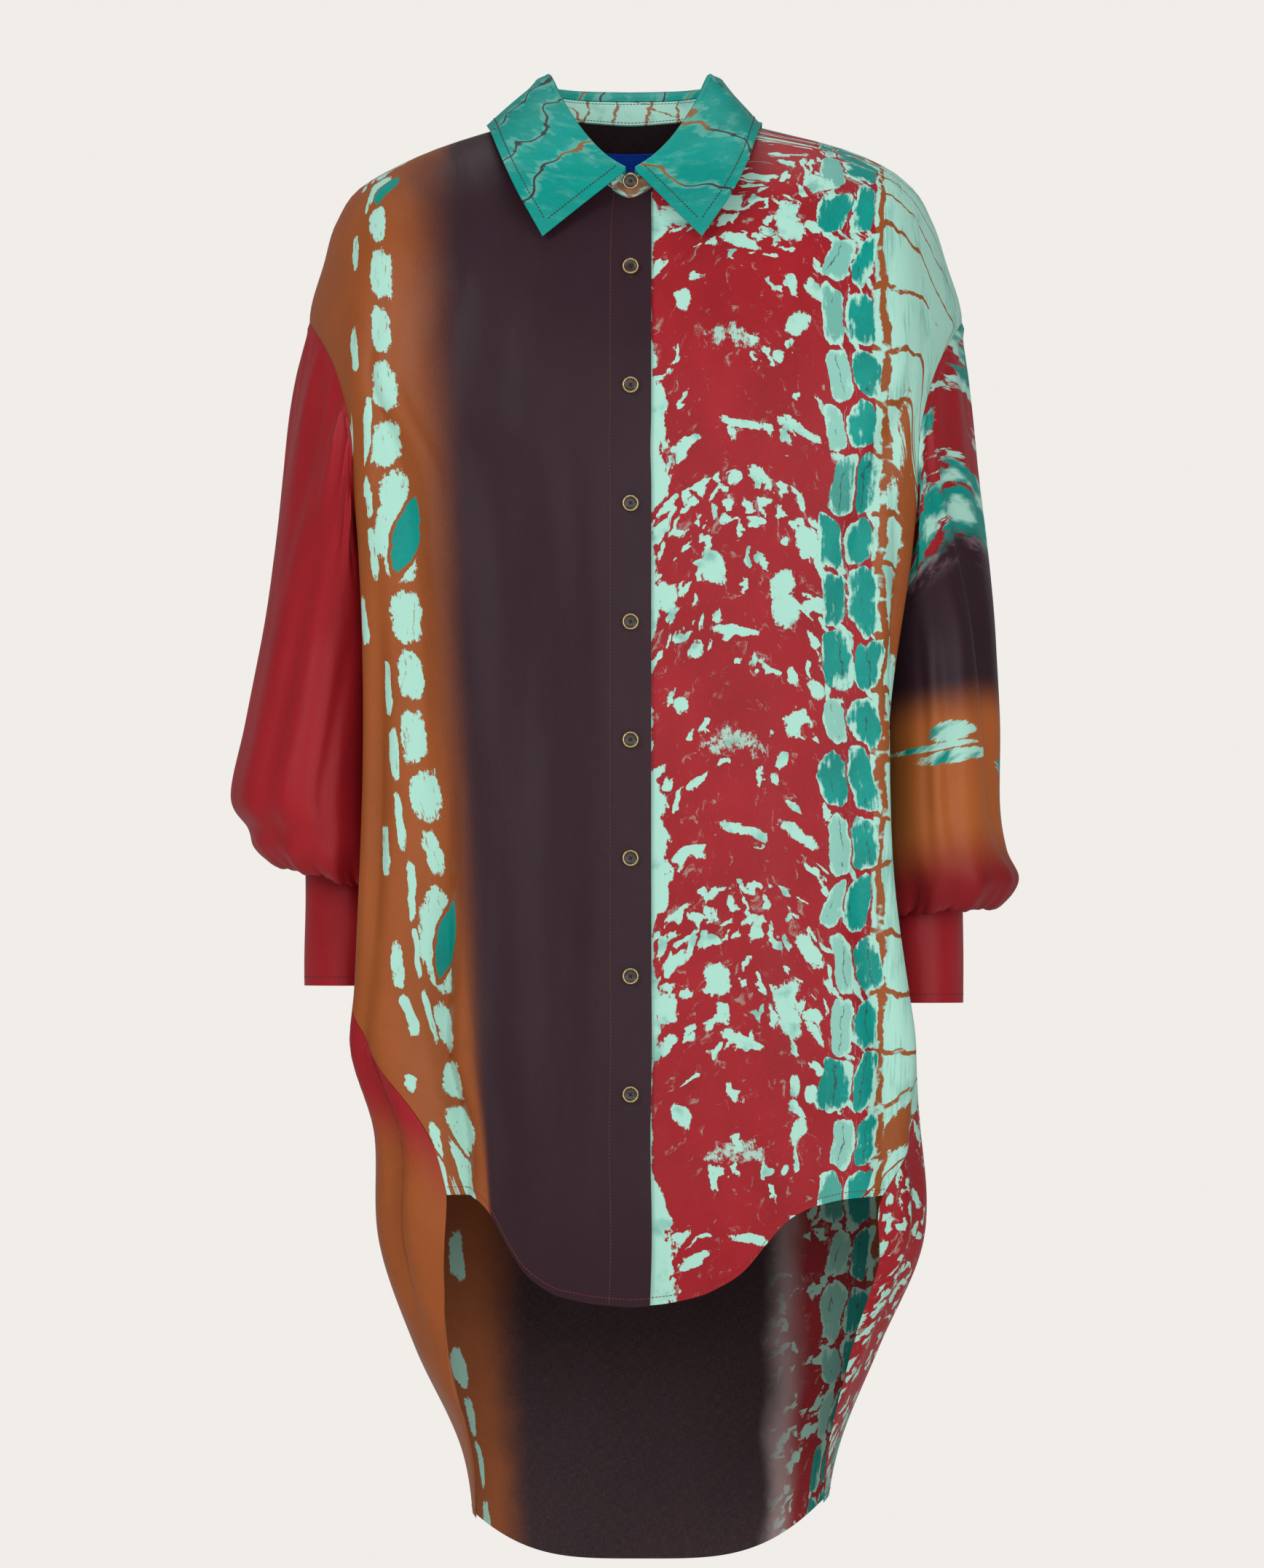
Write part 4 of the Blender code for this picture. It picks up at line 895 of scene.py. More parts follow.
def resist_cells(finish, ground, across, down, u, fine, ragged):
    """Two columns of turquoise cells rimmed in mint on the ground, and outside them mint
    crossed by rust bars."""
    wander = finish.noise(across, down, 0.035, 0.06, 9, detail=3)
    row = down / CELL_PITCH + 0.45 + wander * 0.7
    tall = row.part() - 0.5
    a, b, c = finish.chance(row.floor(), 5)
    streaks = finish.noise(across, down, 0.0026, 0.03, 29, detail=3, roughness=0.6)
    bar = (abs((row - (u - 0.19) * 3.5).part() - 0.5) - (u - 0.19) * 0.3 + ragged * 0.03)
    broken = finish.noise(across, down, 0.018, 0.012, 17).rise(-0.2, -0.08)
    line = (abs(u - 0.1925 + wander * 0.016) + ragged * 0.0022 - broken * 0.0004)
    worn = finish.noise(across, down, 0.03, 0.075, 21, detail=4, roughness=0.62)
    faded = blot(u - 0.226, down - 0.33, 0.025, 0.105).higher_of(
        blot(u - 0.213, down - 0.8, 0.017, 0.03)) + worn * 5.0 + ragged * 0.8
    rust = bar.rise(0.432, 0.45) * broken
    rust = rust.higher_of(line.rise(0.0038, 0.0026) * broken).higher_of(faded.rise(0.0, 0.3))
    dip = finish.blend(dye("mint"), dye("turquoise"), (streaks + wander).rise(0.0, 0.30) * 0.35)
    outer = finish.blend(dip, uneven(finish, "rust", 0.5, across), rust)
    under = finish.blend(ground, outer, (u + ragged * 0.0015).rise(0.1835, 0.185))

    split = (a - 0.5) * 0.01 + 0.1665 + tall * (c - 0.5) * 0.018
    second = (u - split).rise(-0.0001, 0.0001)
    half = mix(0.0078 + b * 0.0046, 0.0088 + c * 0.0026, second)
    wide = (u - split - mix(-1.0, 1.0, second) * (half + 0.0008)) / half
    field = 1.0 - abs(wide) ** 3.0 - abs((tall + (b - 0.5) * 0.04) / 0.455) ** 3.6
    depth = finish.noise(across, down, 0.01, 0.02, 4, detail=4, roughness=0.6)
    full = (b + second * 0.45).rise(0.12, 0.5) * 0.65 + 0.35
    heart = (field + depth * 2.4 + streaks * 1.2 - wide * (a - 0.5)).rise(0.05, 0.6) * full
    cell = finish.blend(dye("mint"), uneven(finish, "turquoise", 0.8, across), heart)
    vein = (abs(wide + depth * 1.1 - (c - 0.5) * 0.5) + fine * 0.12).rise(0.075, 0.02)
    vein = vein * (a + depth * 3.0).rise(0.45, 0.75) * abs(tall).rise(0.4, 0.3)
    cell = finish.blend(cell, VEIN, vein * 0.7)
    return finish.blend(under, cell, (field + ragged * 0.4).rise(0.0, 0.1))


def back_print(finish):
    """Aubergine down the middle, rust and red to the right, red with cells to the left, and a grey
    band of painted highlight between the middle and the left.
    """
    across, down = finish.across, finish.down
    fine, ragged = brushed(finish)
    u = across + finish.clouds(0.035, 0.045, 1) * 0.014 + fine * 0.003
    v = down + finish.clouds(0.026, 0.026, 5) * 0.012
    red = uneven(finish, "red", 0.4)
    rust = uneven(finish, "rust", 0.3)
    upper = (0.8 - down + (u * -1.0 - 0.36) * 0.8 + fine * 0.02).rise(-0.03, 0.05)
    right = finish.blend(rust, red, upper * (u * -1.0).rise(0.25, 0.3))
    marks = dabs(finish, u, v, -0.135, 0.006, 0.045, 6, 0.7).higher_of(
        dabs(finish, u, v, -0.265, 0.006, 0.052, 9, 0.7)) + ragged
    right = finish.blend(right, dye("mint"), marks.rise(0.0, 0.25))
    aubergine = uneven(finish, "aubergine", 0.3)
    ground = finish.blend(right, aubergine, u.rise(-0.118, -0.076))
    share = finish.clouds(0.06, 0.05, 14).rise(-0.16, 0.1) * 0.8
    left = finish.blend(red, dye("mint"), speckled_red(finish, u, v + u * 0.4, share, ragged))
    from_band = abs(across - 0.225) * -1.0 + 0.22
    left = resist_cells(finish, left, from_band, down, from_band + (u - across), fine, ragged)
    # The grey blended in from 0.1 to 0.142 across is painted highlight: the sheen on the tail's
    # inside near its edge.
    left_with_painted_highlight = finish.blend(left, (0.42, 0.36, 0.36, 1), u.rise(0.142, 0.114) * 0.8)
    return finish.blend(ground, left_with_painted_highlight, u.rise(0.1, 0.124))


def left_sleeve_print(finish):
    """Bands down the sleeve: streaked red, aubergine, rust with streaks, and red."""
    across, down = finish.across, finish.down
    lean = down - ((across - 0.06) ** 2.0 + 0.0004) ** 0.5 * 0.42 + 0.012
    fine = finish.noise(across, lean, 0.007, 0.0011, 3, detail=3, roughness=0.7)
    ragged = fine * 0.9 + finish.noise(across, lean, 0.018, 0.006, 8, detail=3)
    streaks = finish.noise(across, lean, 0.085, 0.017, 4, detail=4, roughness=0.55)
    red = uneven(finish, "red", 0.4)
    amount = finish.levels((lean - 0.152) / 0.18, (
        (0.0, 0.7), (0.16, 0.52), (0.34, 0.24), (0.56, 0.26), (0.68, 0.62), (0.86, 0.78),
        (0.95, 0.5), (1.0, 0.3)))
    pale = (streaks + amount * 0.34 + ragged * 0.16).rise(0.15, 0.19)
    tint = finish.noise(across, lean, 0.05, 0.02, 6, detail=3) + amount * 0.3
    mint = finish.blend(dye("mint"), dye("turquoise"), tint.rise(0.06, 0.24))
    top = finish.blend(red, mint, pale)
    dark = uneven(finish, "aubergine", 0.3)
    dark = finish.blend(dark, (0.3, 0.18, 0.2, 1), (streaks + ragged * 0.5).rise(0.0, 0.25)
                        * lean.rise(0.345, 0.315) * 0.6)
    rust = uneven(finish, (0.37, 0.098, 0.022, 1), 0.3)
    shift = finish.clouds(0.08, 0.16, 9) * 0.012 + fine * 0.006
    sleeve = finish.blend(top, dark, (lean + shift + streaks * 0.03).rise(0.308, 0.328))
    level = down - ((across - 0.06) ** 2.0 + 0.0004) ** 0.5 * 0.12 + 0.004
    soft = level + shift
    sleeve = finish.blend(sleeve, rust, soft.rise(0.42, 0.458))
    low = blot(across - 0.1, level - 0.463, 0.03, 0.0085).higher_of(
        blot(across - 0.125, level - 0.473, 0.058, 0.0028)).higher_of(
        blot(across - 0.094, level - 0.482, 0.05, 0.0056)).higher_of(
        blot(across + 0.01, level - 0.489, 0.035, 0.007))
    dashes = (low + ragged * 1.5).rise(0.0, 0.3)
    sleeve = finish.blend(sleeve, mint, dashes)
    deep = finish.blend(red, (0.0, 0.0, 0.0, 1), 0.25)
    return finish.blend(sleeve, deep, soft.rise(0.53, 0.58))


def plain_red(finish):
    return uneven(finish, "red", 0.30)


# Pinched veins of the collar: the turn where each leaves the fold and where it meets the edge,
# and how far down it is rusty
VEINS = (
    (13.1, 13.05, 0.0), (14.02, 13.95, 0.0), (15.05, 15.0, 0.038),
    (1.62, 2.4, 0.03), (0.14, 1.25, 0.042), (3.3, 3.6, 0.0), (4.6, 4.4, 0.05),
    (6.4, 6.6, 0.1), (7.62, 7.5, 0.0), (8.32, 8.4, 0.0), (8.95, 9.0, 0.06),
    (10.1, 10.0, 0.0), (11.5, 11.6, 0.06),
)
FALL_LENGTH, TURN_AT_FOLD, TURN_PER_FALL = 0.085, 0.024, 0.2


def collar_print(finish):
    """Cloudy turquoise crossed by dark pinched veins with mint beside them."""
    _, down, turn = finish.flat_place()
    fine = finish.clouds(0.0012, 0.0012, 3, detail=3, roughness=0.7)
    clouds = finish.clouds(0.018, 0.022, 4, detail=4, roughness=0.6)
    tint = (clouds + fine * 0.25).rise(0.0, 0.42) * 0.25
    base = finish.blend(uneven(finish, "turquoise", 0.6), dye("mint"), tint)
    bend = finish.clouds(0.036, 0.032, 7, detail=1, roughness=0.3) * 0.034
    knots = finish.clouds(0.008, 0.008, 11)
    scale = down * TURN_PER_FALL + TURN_AT_FOLD
    far, warm = None, 0.0
    for start, end, rusty in VEINS:
        gap = abs((turn - start - down * ((end - start) / FALL_LENGTH)) * scale + bend)
        if rusty:
            warm = warm + gap.rise(0.008, 0.004) * down.rise(rusty + 0.006, rusty - 0.006)
        far = gap if far is None else far.lower_of(gap)
    halo = (far + knots * 0.024 + clouds * 0.012).rise(0.0065, 0.0005)
    veined = finish.blend(base, dye("mint"), halo * 0.20)
    line = (far - knots.rise(0.05, 0.2) * 0.0012 + fine * 0.0006).rise(0.0013, 0.0007)
    dark = finish.blend(VEIN, (0.25, 0.095, 0.018, 1), warm)
    return finish.blend(veined, dark, line * 0.92)


def stand_print(finish):
    """Mint with fine rust lines up it."""
    across, down = finish.across, finish.down
    clouds = finish.clouds(0.017, 0.017, 4, detail=3)
    base = finish.blend(dye("mint"), dye("turquoise"), clouds.rise(0.02, 0.36) * 0.5)
    bend = finish.clouds(0.05, 0.016, 7, detail=4) * 0.01
    knots = finish.clouds(0.005, 0.005, 3) * 0.004
    far = abs(((across + bend + down * 0.12) / 0.0245).part() - 0.5) * 0.0245
    branch = abs(((across + bend * 3.0 - down * 1.3) / 0.075).part() - 0.5) * 0.075
    line = (far.lower_of(branch) + knots).rise(0.0016, 0.0007)
    rusty = finish.clouds(0.034, 0.014, 13, detail=3).rise(-0.02, 0.05)
    front = rusty * abs(across).rise(0.188, 0.196)
    return finish.blend(base, dye("rust"), line.higher_of(front) * 0.9)


def label_weave(finish):
    """Bare satin ribbon, ribbed across."""
    ribs = finish.clouds(0.0033, 0.0004, 1).rise(-0.2, 0.3)
    return finish.blend(dye("label"), (0.0, 0.02, 0.25, 1), ribs * 0.35)


# Silks and threads

def silk(name, print_of, face=True):
    """Printed silk satin, or its duller and slightly washed wrong side."""
    finish = Finish(name)
    finish.flat_place()
    colour = print_of(finish)
    warp, weft = finish.clouds(0.0006, 0.006, 31), finish.clouds(0.006, 0.0006, 37)
    if face:
        ripples = finish.clouds(0.05, 0.15, 41, detail=3, roughness=0.45)
        normal = finish.bump(ripples, 0.0012)
        normal = finish.bump(warp + weft, 0.00005, normal)
        return finish.feed(Base_Color=colour, Roughness=warp * 0.06 + 0.42, Normal=normal,
                           Specular_IOR_Level=0.15)
    colour = finish.blend(colour, (0.42, 0.36, 0.34, 1),
                          (warp + weft).rise(-0.2, 0.4) * 0.05 + 0.02)
    return finish.feed(Base_Color=colour, Roughness=0.75, Specular_IOR_Level=0.2,
                       Normal=finish.bump(warp + weft, 0.0001))


def both_sides(words, print_of):
    return [silk(words + " silk", print_of), silk(words + " wrong side", print_of, face=False)]


def clouded(name, colour, size, depth, **sockets):
    """A colour darkened in small clouds, by the place on the object itself."""
    finish = Finish(name)
    place = finish.add("ShaderNodeTexCoord", output=3)
    x, y, z = [finish.add("ShaderNodeSeparateXYZ", None, {0: place}, n) for n in range(3)]
    clouds = finish.noise(x + y * 0.7, z + y * 0.7, size, size, 5, detail=3)
    shade = finish.blend((*colour, 1), (0.0, 0.0, 0.0, 1), clouds.rise(-0.1, 0.25) * depth)
    return finish.feed(Base_Color=shade, **sockets)


def thread(name, colour):
    """Sewing thread, its twist and its dye uneven."""
    return clouded(name, colour, 0.0006, 0.5, Roughness=0.45)


# The pieces

RIGHT_PRINT = (              # the print's own place across, and x at the top and the bottom
    (0.0, 0.0, 0.0), (0.142, 0.1345, 0.1045), (0.184, 0.175, 0.1068),
    (0.206, 0.196, 0.1215))
LEFT_PRINT = ((0.0, 0.0, 0.0), (0.147, 0.146, 0.145), (0.189, 0.189, 0.184))
PRINT_TOP, PRINT_FOOT = 0.09, 0.9


def print_across(outer, table, way):
    """Each point's place across the print, so that the print's bands fall where the table
    puts them."""
    across = arc_length(outer, 1)
    share = (-outer[:, :1, 2] - PRINT_TOP) / (PRINT_FOOT - PRINT_TOP)
    places = np.empty_like(across)
    for i, row in enumerate(across):
        x = way * outer[i, :, 0]
        rising = np.maximum.accumulate(x)
        at = [np.interp(mix(top, foot, share[i, 0]), rising, row) for _, top, foot in table]
        print_at = [place for place, _, _ in table]
        places[i] = np.interp(row, at, print_at)
        places[i] += np.clip(row - at[-1], 0, None) - np.clip(at[0] - row, 0, None)
    return places


def print_down(outer, row):
    """Length down the cloth, equal to the depth below the origin at one row."""
    down = arc_length(outer, 0)
    return down - down[row] - outer[row, :, 2]


def make_front(name, seam, hem, way, materials):
    """One front, and its grids of points and normals. The right one lies over the left."""
    centre = Side(lambda drop: -turns_across(PLACKET_HALF, drop), lambda drop: 0, 1, 1, False)
    side = Side(lambda drop: LEFT, lambda drop: seam_turns(seam, drop) - LEFT,
                FRONT_SWING_SPREAD, -1, True)
    side_drops = np.linspace(HOLE_FOOT, FRONT_HEM_SIDE, SIDE_ROWS + 1)[1:]
    turns, drops = panel_places((centre, side), side_drops, front_hem(hem), FRONT_COLUMNS)
    if way < 0:
        turns = ROUND - turns
    outer = lapped(turns, drops, -way)
    normals = grid_normals(outer, False) * way
    across = print_across(outer, RIGHT_PRINT if way < 0 else LEFT_PRINT, way)
    down = print_down(outer, SHOULDER_ROWS + HOLE_ROWS)
    to_hem = arc_length(outer[::-1], 0)[::-1]
    return lay(name, outer, normals, sizes().silk_thickness, across, down, to_hem, materials)


def make_back(name, materials):
    left = Side(lambda drop: LEFT, lambda drop: seam_turns(LEFT_EDGE, drop) - LEFT,
                BACK_SWING_SPREAD, 1, True)
    right = Side(lambda drop: RIGHT, lambda drop: LEFT - seam_turns(RIGHT_EDGE, drop),
                 BACK_SWING_SPREAD, -1, True)
    side_drops = np.concatenate([
        np.linspace(HOLE_FOOT, FRONT_HEM_SIDE, SIDE_ROWS + 1)[1:],
        np.linspace(FRONT_HEM_SIDE, RIGHT_EDGE[-1].drop, TAIL_ROWS + 1)[1:]])
    turns, drops = panel_places((left, right), side_drops, back_hem, BACK_COLUMNS)
    outer = trunk(turns, drops)
    normals = grid_normals(outer, False)
    across = arc_length(outer, 1)
    middle = BACK_COLUMNS // 2
    across = across[:, middle:middle + 1] - across
    down = print_down(outer, SHOULDER_ROWS + HOLE_ROWS)
    to_hem = arc_length(outer[::-1], 0)[::-1]
    return lay(name, outer, normals, sizes().silk_thickness, across, down, to_hem, materials)


# Sleeves: the rings below the head, as in the part's source, and their folds

SLEEVE_COLUMNS, SLEEVE_HEAD_ROWS, SLEEVE_LOW_ROWS = 160, 60, 110
SleeveRing = namedtuple("SleeveRing", "height inner_height out into fore aft")
RIGHT_SLEEVE = named_rows(
    SleeveRing,
    (-0.400, -0.410, 0.281, 0.178, -0.067, 0.090),
    (-0.460, -0.462, 0.293, 0.180, -0.069, 0.093),
    (-0.514, -0.515, 0.3035, 0.181, -0.071, 0.095),
    (-0.538, -0.548, 0.290, 0.180, -0.069, 0.094),
    (-0.552, -0.576, 0.284, 0.181, -0.066, 0.092),
    (-0.565, -0.589, 0.268, 0.184, -0.054, 0.080),
    (-0.562, -0.574, 0.255, 0.186, -0.037, 0.060),
    (-0.5535, -0.5535, 0.2475, 0.1865, -0.0285, 0.0505),
)
LEFT_SLEEVE = named_rows(
    SleeveRing,
    (-0.400, -0.410, 0.277, 0.183, -0.067, 0.090),
    (-0.460, -0.462, 0.280, 0.184, -0.069, 0.093),
    (-0.520, -0.522, 0.280, 0.185, -0.071, 0.095),
    (-0.553, -0.560, 0.285, 0.184, -0.071, 0.094),
    (-0.577, -0.590, 0.293, 0.185, -0.066, 0.092),
    (-0.597, -0.605, 0.277, 0.188, -0.054, 0.080),
    (-0.588, -0.592, 0.261, 0.191, -0.037, 0.060),
    (-0.5665, -0.5665, 0.2525, 0.1915, -0.0285, 0.0505),
)
RIGHT_FLARE, LEFT_FLARE, UNDERARM_FLARE = 0.26, 0.07, 0.075
HEAD_SPREAD, HEAD_PULL = 0.1, 1.05
SLEEVE_REACH = 0.075         # about half the sleeve's depth, for its print's place across
HEAD_SHARE = 6 / 17          # the solids have 6 rows in the head and 11 below it
SLEEVE_CLEAR, SLEEVE_FREE = 0.0035, 0.06
# Gathers: waves round the sleeve, their depth, where along it they are deepest, how far they
# reach, and where they fade out towards the seam.
Gather = namedtuple("Gather", "waves depth place reach end fade")
GATHERS = named_rows(
    Gather,
    (10, 0.0018, 0.09, 0.08, 0.00, 0.05), (10, 0.0022, 0.76, 0.09, 0.90, -0.08),
    (23, 0.0012, 0.05, 0.08, 0.00, 0.02), (41, 0.0005, 0.03, 0.05, 0.00, 0.01),
    (27, 0.0010, 0.84, 0.08, 0.97, -0.06), (43, 0.0006, 0.86, 0.08, 0.99, -0.05),
)
SleeveFold = namedtuple("SleeveFold", "angle start end_angle end width depth")
RIGHT_SLEEVE_FOLDS = named_rows(
    SleeveFold,
    (1.15, 0.12, 0.80, 0.80, 0.20, 0.006),
    (0.35, 0.18, 0.30, 0.66, 0.26, 0.003),
    (-0.60, 0.10, -0.50, 0.70, 0.26, 0.009),
    (-1.50, 0.14, -1.20, 0.70, 0.24, 0.007),
    (1.60, 0.02, 1.45, 0.30, 0.09, 0.0018),
    (0.80, 0.03, 0.55, 0.30, 0.10, 0.0018),
    (0.10, 0.04, 0.05, 0.26, 0.09, 0.0015),
    (1.90, 0.30, 1.60, 0.74, 0.12, 0.003),
)
LEFT_SLEEVE_FOLDS = named_rows(
    SleeveFold,
    (0.95, 0.04, 0.25, 0.72, 0.17, 0.009),
    (1.50, 0.20, 1.25, 0.72, 0.22, 0.006),
    (-0.70, 0.10, -0.40, 0.70, 0.26, 0.009),
    (-1.60, 0.14, -1.30, 0.70, 0.24, 0.007),
    (1.30, 0.02, 0.95, 0.34, 0.08, 0.0020),
    (0.55, 0.04, 0.10, 0.30, 0.09, 0.0015),
    (1.85, 0.26, 1.70, 0.74, 0.12, 0.003),
)


def hole_ring(side, angles):
    """The sleeve's first ring, just inside the armhole's edge."""
    middle, half = (HOLE_TOP + HOLE_FOOT) / 2, (HOLE_FOOT - HOLE_TOP) / 2 - SEAM_ROOM
    drops = middle - half * np.cos(angles)
    turns = LEFT - (HOLE_REACH - SEAM_ROOM / TURN_ON_TRUNK) * np.sin(angles)
    return trunk(turns if side > 0 else ROUND - turns, drops)


def oval_rings(rings, side, angles):
    """Rings of the sleeve, angle 0 outermost and a quarter turn at the front."""
    out = (rings[:, 2] + rings[:, 3]) / 2
    half = (rings[:, 2] - rings[:, 3]) / 2
    middle = (rings[:, 4] + rings[:, 5]) / 2
    deep = (rings[:, 5] - rings[:, 4]) / 2
    lean = (1 + np.cos(angles)) / 2
    x = out[:, None] + half[:, None] * np.cos(angles)
    y = middle[:, None] - deep[:, None] * np.sin(angles)
    z = mix(rings[:, 1][:, None], rings[:, 0][:, None], lean)
    return np.stack([side * x, y, z], axis=-1)


def half_round(angles):
    """Angles from minus a half turn to a half turn."""
    return np.where(angles > np.pi, angles - 2 * np.pi, angles)


def sleeve_depth(folds, angles, shares):
    """How far the folds and gathers pull a sleeve in."""
    total = np.zeros((len(shares), len(angles)))
    for fold in folds:
        part = (shares - fold.start) / (fold.end - fold.start)
        centre = mix(fold.angle, fold.end_angle, part)[:, None]
        aside = (angles[None, :] - centre + np.pi) % (2 * np.pi) - np.pi
        fade = np.sin(np.pi * np.clip(part, 0, 1))[:, None]
        total += fold.depth * fade * np.exp(-(aside / fold.width) ** 2)
    for n, gather in enumerate(GATHERS):
        swell = gather.depth * np.exp(-((shares - gather.place) / gather.reach) ** 2)
        swell *= np.clip((shares - gather.end) / gather.fade, 0, 1)
        uneven = 1 + 0.45 * np.sin(3 * angles + 1.7 * n) * (gather.waves > 10)
        wander = 0.35 * np.sin(2 * angles + n) * (gather.waves > 10)
        total += swell[:, None] * uneven * np.sin(gather.waves * (angles + wander / 4))
    return total


def make_sleeve(name, side, rings, folds, trunk_tree, materials):
    """A tube from the armhole, blousing over the cuff and turned up inside to meet it."""
    angles = round_angles(SLEEVE_COLUMNS)
    start = hole_ring(side, angles)
    low = smooth_read(np.arange(len(rings)), np.array(rings),
                      np.linspace(0, len(rings) - 1, SLEEVE_LOW_ROWS + 1))
    tube = oval_rings(low, side, angles)
    end = tube[0]
    length = np.linalg.norm(end - start, axis=1)[:, None]
    outer_share = ((1 + np.cos(angles)) / 2)[:, None]
    head_flare = RIGHT_FLARE if side < 0 else LEFT_FLARE
    flare = side * mix(UNDERARM_FLARE, head_flare, outer_share)
    leave = np.concatenate([flare, -HEAD_SPREAD * np.sin(angles)[:, None],
                            -np.ones_like(flare)], axis=1)
    leave = unit(leave) * length * HEAD_PULL
    arrive = unit(tube[1] - tube[0]) * length
    head = eased(np.linspace(0, 1, SLEEVE_HEAD_ROWS, endpoint=False)[:, None, None],
                 start, leave, end, arrive)
    outer = np.concatenate([head, tube])
    shares = np.concatenate([np.linspace(0, HEAD_SHARE, SLEEVE_HEAD_ROWS, endpoint=False),
                             np.linspace(HEAD_SHARE, 1, SLEEVE_LOW_ROWS + 1)])
    normals = grid_normals(outer, True) * -side
    outer = outer - normals * sleeve_depth(folds, angles, shares)[..., None]
    room = mix(SLEEVE_CLEAR / 2, SLEEVE_CLEAR, np.clip(shares / SLEEVE_FREE, 0, 1))
    moved = kept_clear(outer, trunk_tree, np.broadcast_to(room[:, None], outer.shape[:2]))
    moved[0] = start
    normals = grid_normals(moved, True) * -side
    down = arc_length(moved, 0)
    place = down - down[SLEEVE_HEAD_ROWS] - moved[SLEEVE_HEAD_ROWS, :, 2]
    return lay(name, moved, normals, sizes().silk_thickness, half_round(angles) * SLEEVE_REACH,
               place, down, materials, closed=True)


# Cuffs, as in the part's source

Cuff = namedtuple("Cuff", "centre_x centre_y half_x half_y top foot")
RIGHT_CUFF = Cuff(0.217, 0.011, 0.03, 0.039, -0.555, -0.657)
LEFT_CUFF = Cuff(0.222, 0.011, 0.03, 0.039, -0.568, -0.67)
CUFF_COLUMNS, CUFF_ROWS = 120, 44
CUFF_INSET, CUFF_SWELL, CUFF_RIPPLE = 0.0004, 0.0006, 0.0004


def make_cuff(name, side, cuff, materials):
    angles = round_angles(CUFF_COLUMNS)
    down = np.linspace(0, 1, CUFF_ROWS + 1)[:, None]
    swell = CUFF_SWELL * np.sin(np.pi * down) * np.sin(3 * angles + 2 * down + side)
    swell = swell + CUFF_RIPPLE * np.sin(5 * angles - 5 * down) - CUFF_INSET
    z = mix(cuff.top, cuff.foot, down) + np.zeros_like(angles)
    x = side * (cuff.centre_x + (cuff.half_x + swell) * np.cos(angles))
    y = cuff.centre_y - (cuff.half_y + swell) * np.sin(angles)
    outer = np.stack([x, y, z], axis=-1)
    normals = grid_normals(outer, True) * -side
    return lay(name, outer, normals, sizes().stiff_thickness, half_round(angles) * cuff.half_y,
               -z, z - cuff.foot, materials, closed=True)


# The collar, as in the part's source

Collar = namedtuple("Collar", "turns lean stand fold edge_right edge_left edge_y edge_z")
COLLAR = named_rows(
    Collar,
    (0.12, 0.0050, -0.0430, -0.0360, 0.0664, 0.0538, -0.1060, -0.0915),
    (0.55, 0.0025, -0.0355, -0.0288, 0.0745, 0.0638, -0.1045, -0.0770),
    (1.00, 0.0000, -0.0248, -0.0187, 0.0830, 0.0740, -0.1020, -0.0620),
    (2.00, -0.0035, 0.0025, 0.0090, 0.0960, 0.0880, -0.0820, -0.0350),
    (3.00, -0.0050, 0.0240, 0.0300, 0.1050, 0.0955, -0.0460, -0.0130),
    (4.00, -0.0060, 0.0260, 0.0315, 0.1085, 0.0990, 0.0040, -0.0065),
    (5.00, 0.0030, 0.0215, 0.0285, 0.1000, 0.0960, 0.0500, -0.0150),
    (6.00, 0.0095, 0.0160, 0.0240, 0.0780, 0.0780, 0.0860, -0.0270),
    (7.00, 0.0140, 0.0130, 0.0212, 0.0430, 0.0430, 0.1050, -0.0330),
    (8.00, 0.0160, 0.0125, 0.0205, 0.0000, 0.0000, 0.1110, -0.0350),
)
COLLAR_COLUMNS, COLLAR_FALL_ROWS, ROLL_ROWS = 192, 40, 14
ROLL, FALL_BULGE, FALL_GAP, FALL_CLEAR = 0.0028, 0.0012, 0.001, 0.0035
FALL_UP, FALL_TURN, FALL_INSIDE = 0.6, 0.55, 0.00075
FRONT_DIP, DIP_REACH = 0.0032, 0.75     # the fold sags at the front, over so many turns
BAND_ROWS, BAND_GAP, BAND_END_DROP = 20, 0.001, 0.018


def collar_turns():
    return np.linspace(COLLAR[0].turns, ROUND - COLLAR[0].turns, COLLAR_COLUMNS + 1)


def collar_rows(turn):
    """The collar's table read at turns from the centre front, 0 to 16 round the neck."""
    from_front = np.minimum(turn, ROUND - turn)
    table = np.array(COLLAR)
    read = smooth_read(table[:, 0], table, np.clip(from_front, COLLAR[0].turns, BACK))
    read[:, 2:4] -= FRONT_DIP * np.exp(-(from_front[:, None] / DIP_REACH) ** 2)
    left = np.where(turn <= BACK, read[:, 5], 0)
    right = np.where(turn > BACK, -read[:, 4], 0)
    return read, left + right


def neck_frame(turn):
    """Points of the neck seam and the level direction out of it."""
    seam = trunk(turn, np.zeros_like(turn))
    out = seam.copy()
    out[:, 2] = 0
    return seam, unit(out)


def band_edges(turn):
    """The outer face of the stand at its foot and its top."""
    near_start = 1 - smooth_step((turn - LAP_HOLD) / LAP_REACH)
    near_end = 1 - smooth_step((ROUND - turn - LAP_HOLD) / LAP_REACH)
    shift = (LAP * (near_end - near_start))[:, None]
    read, _ = collar_rows(np.clip(turn, 0, ROUND))
    beyond = np.abs(turn - np.clip(turn, 0, ROUND))
    seam, out = neck_frame(turn)
    up = unit(seam - trunk(turn, np.full_like(turn, 0.002)))
    foot = seam + up * BAND_GAP + outward(plain_trunk, turn, np.zeros_like(turn)) * shift
    top = seam + out * read[:, 1:2]
    top[:, 2] = read[:, 2] - BAND_END_DROP * beyond ** 2
    return foot, top + out * shift


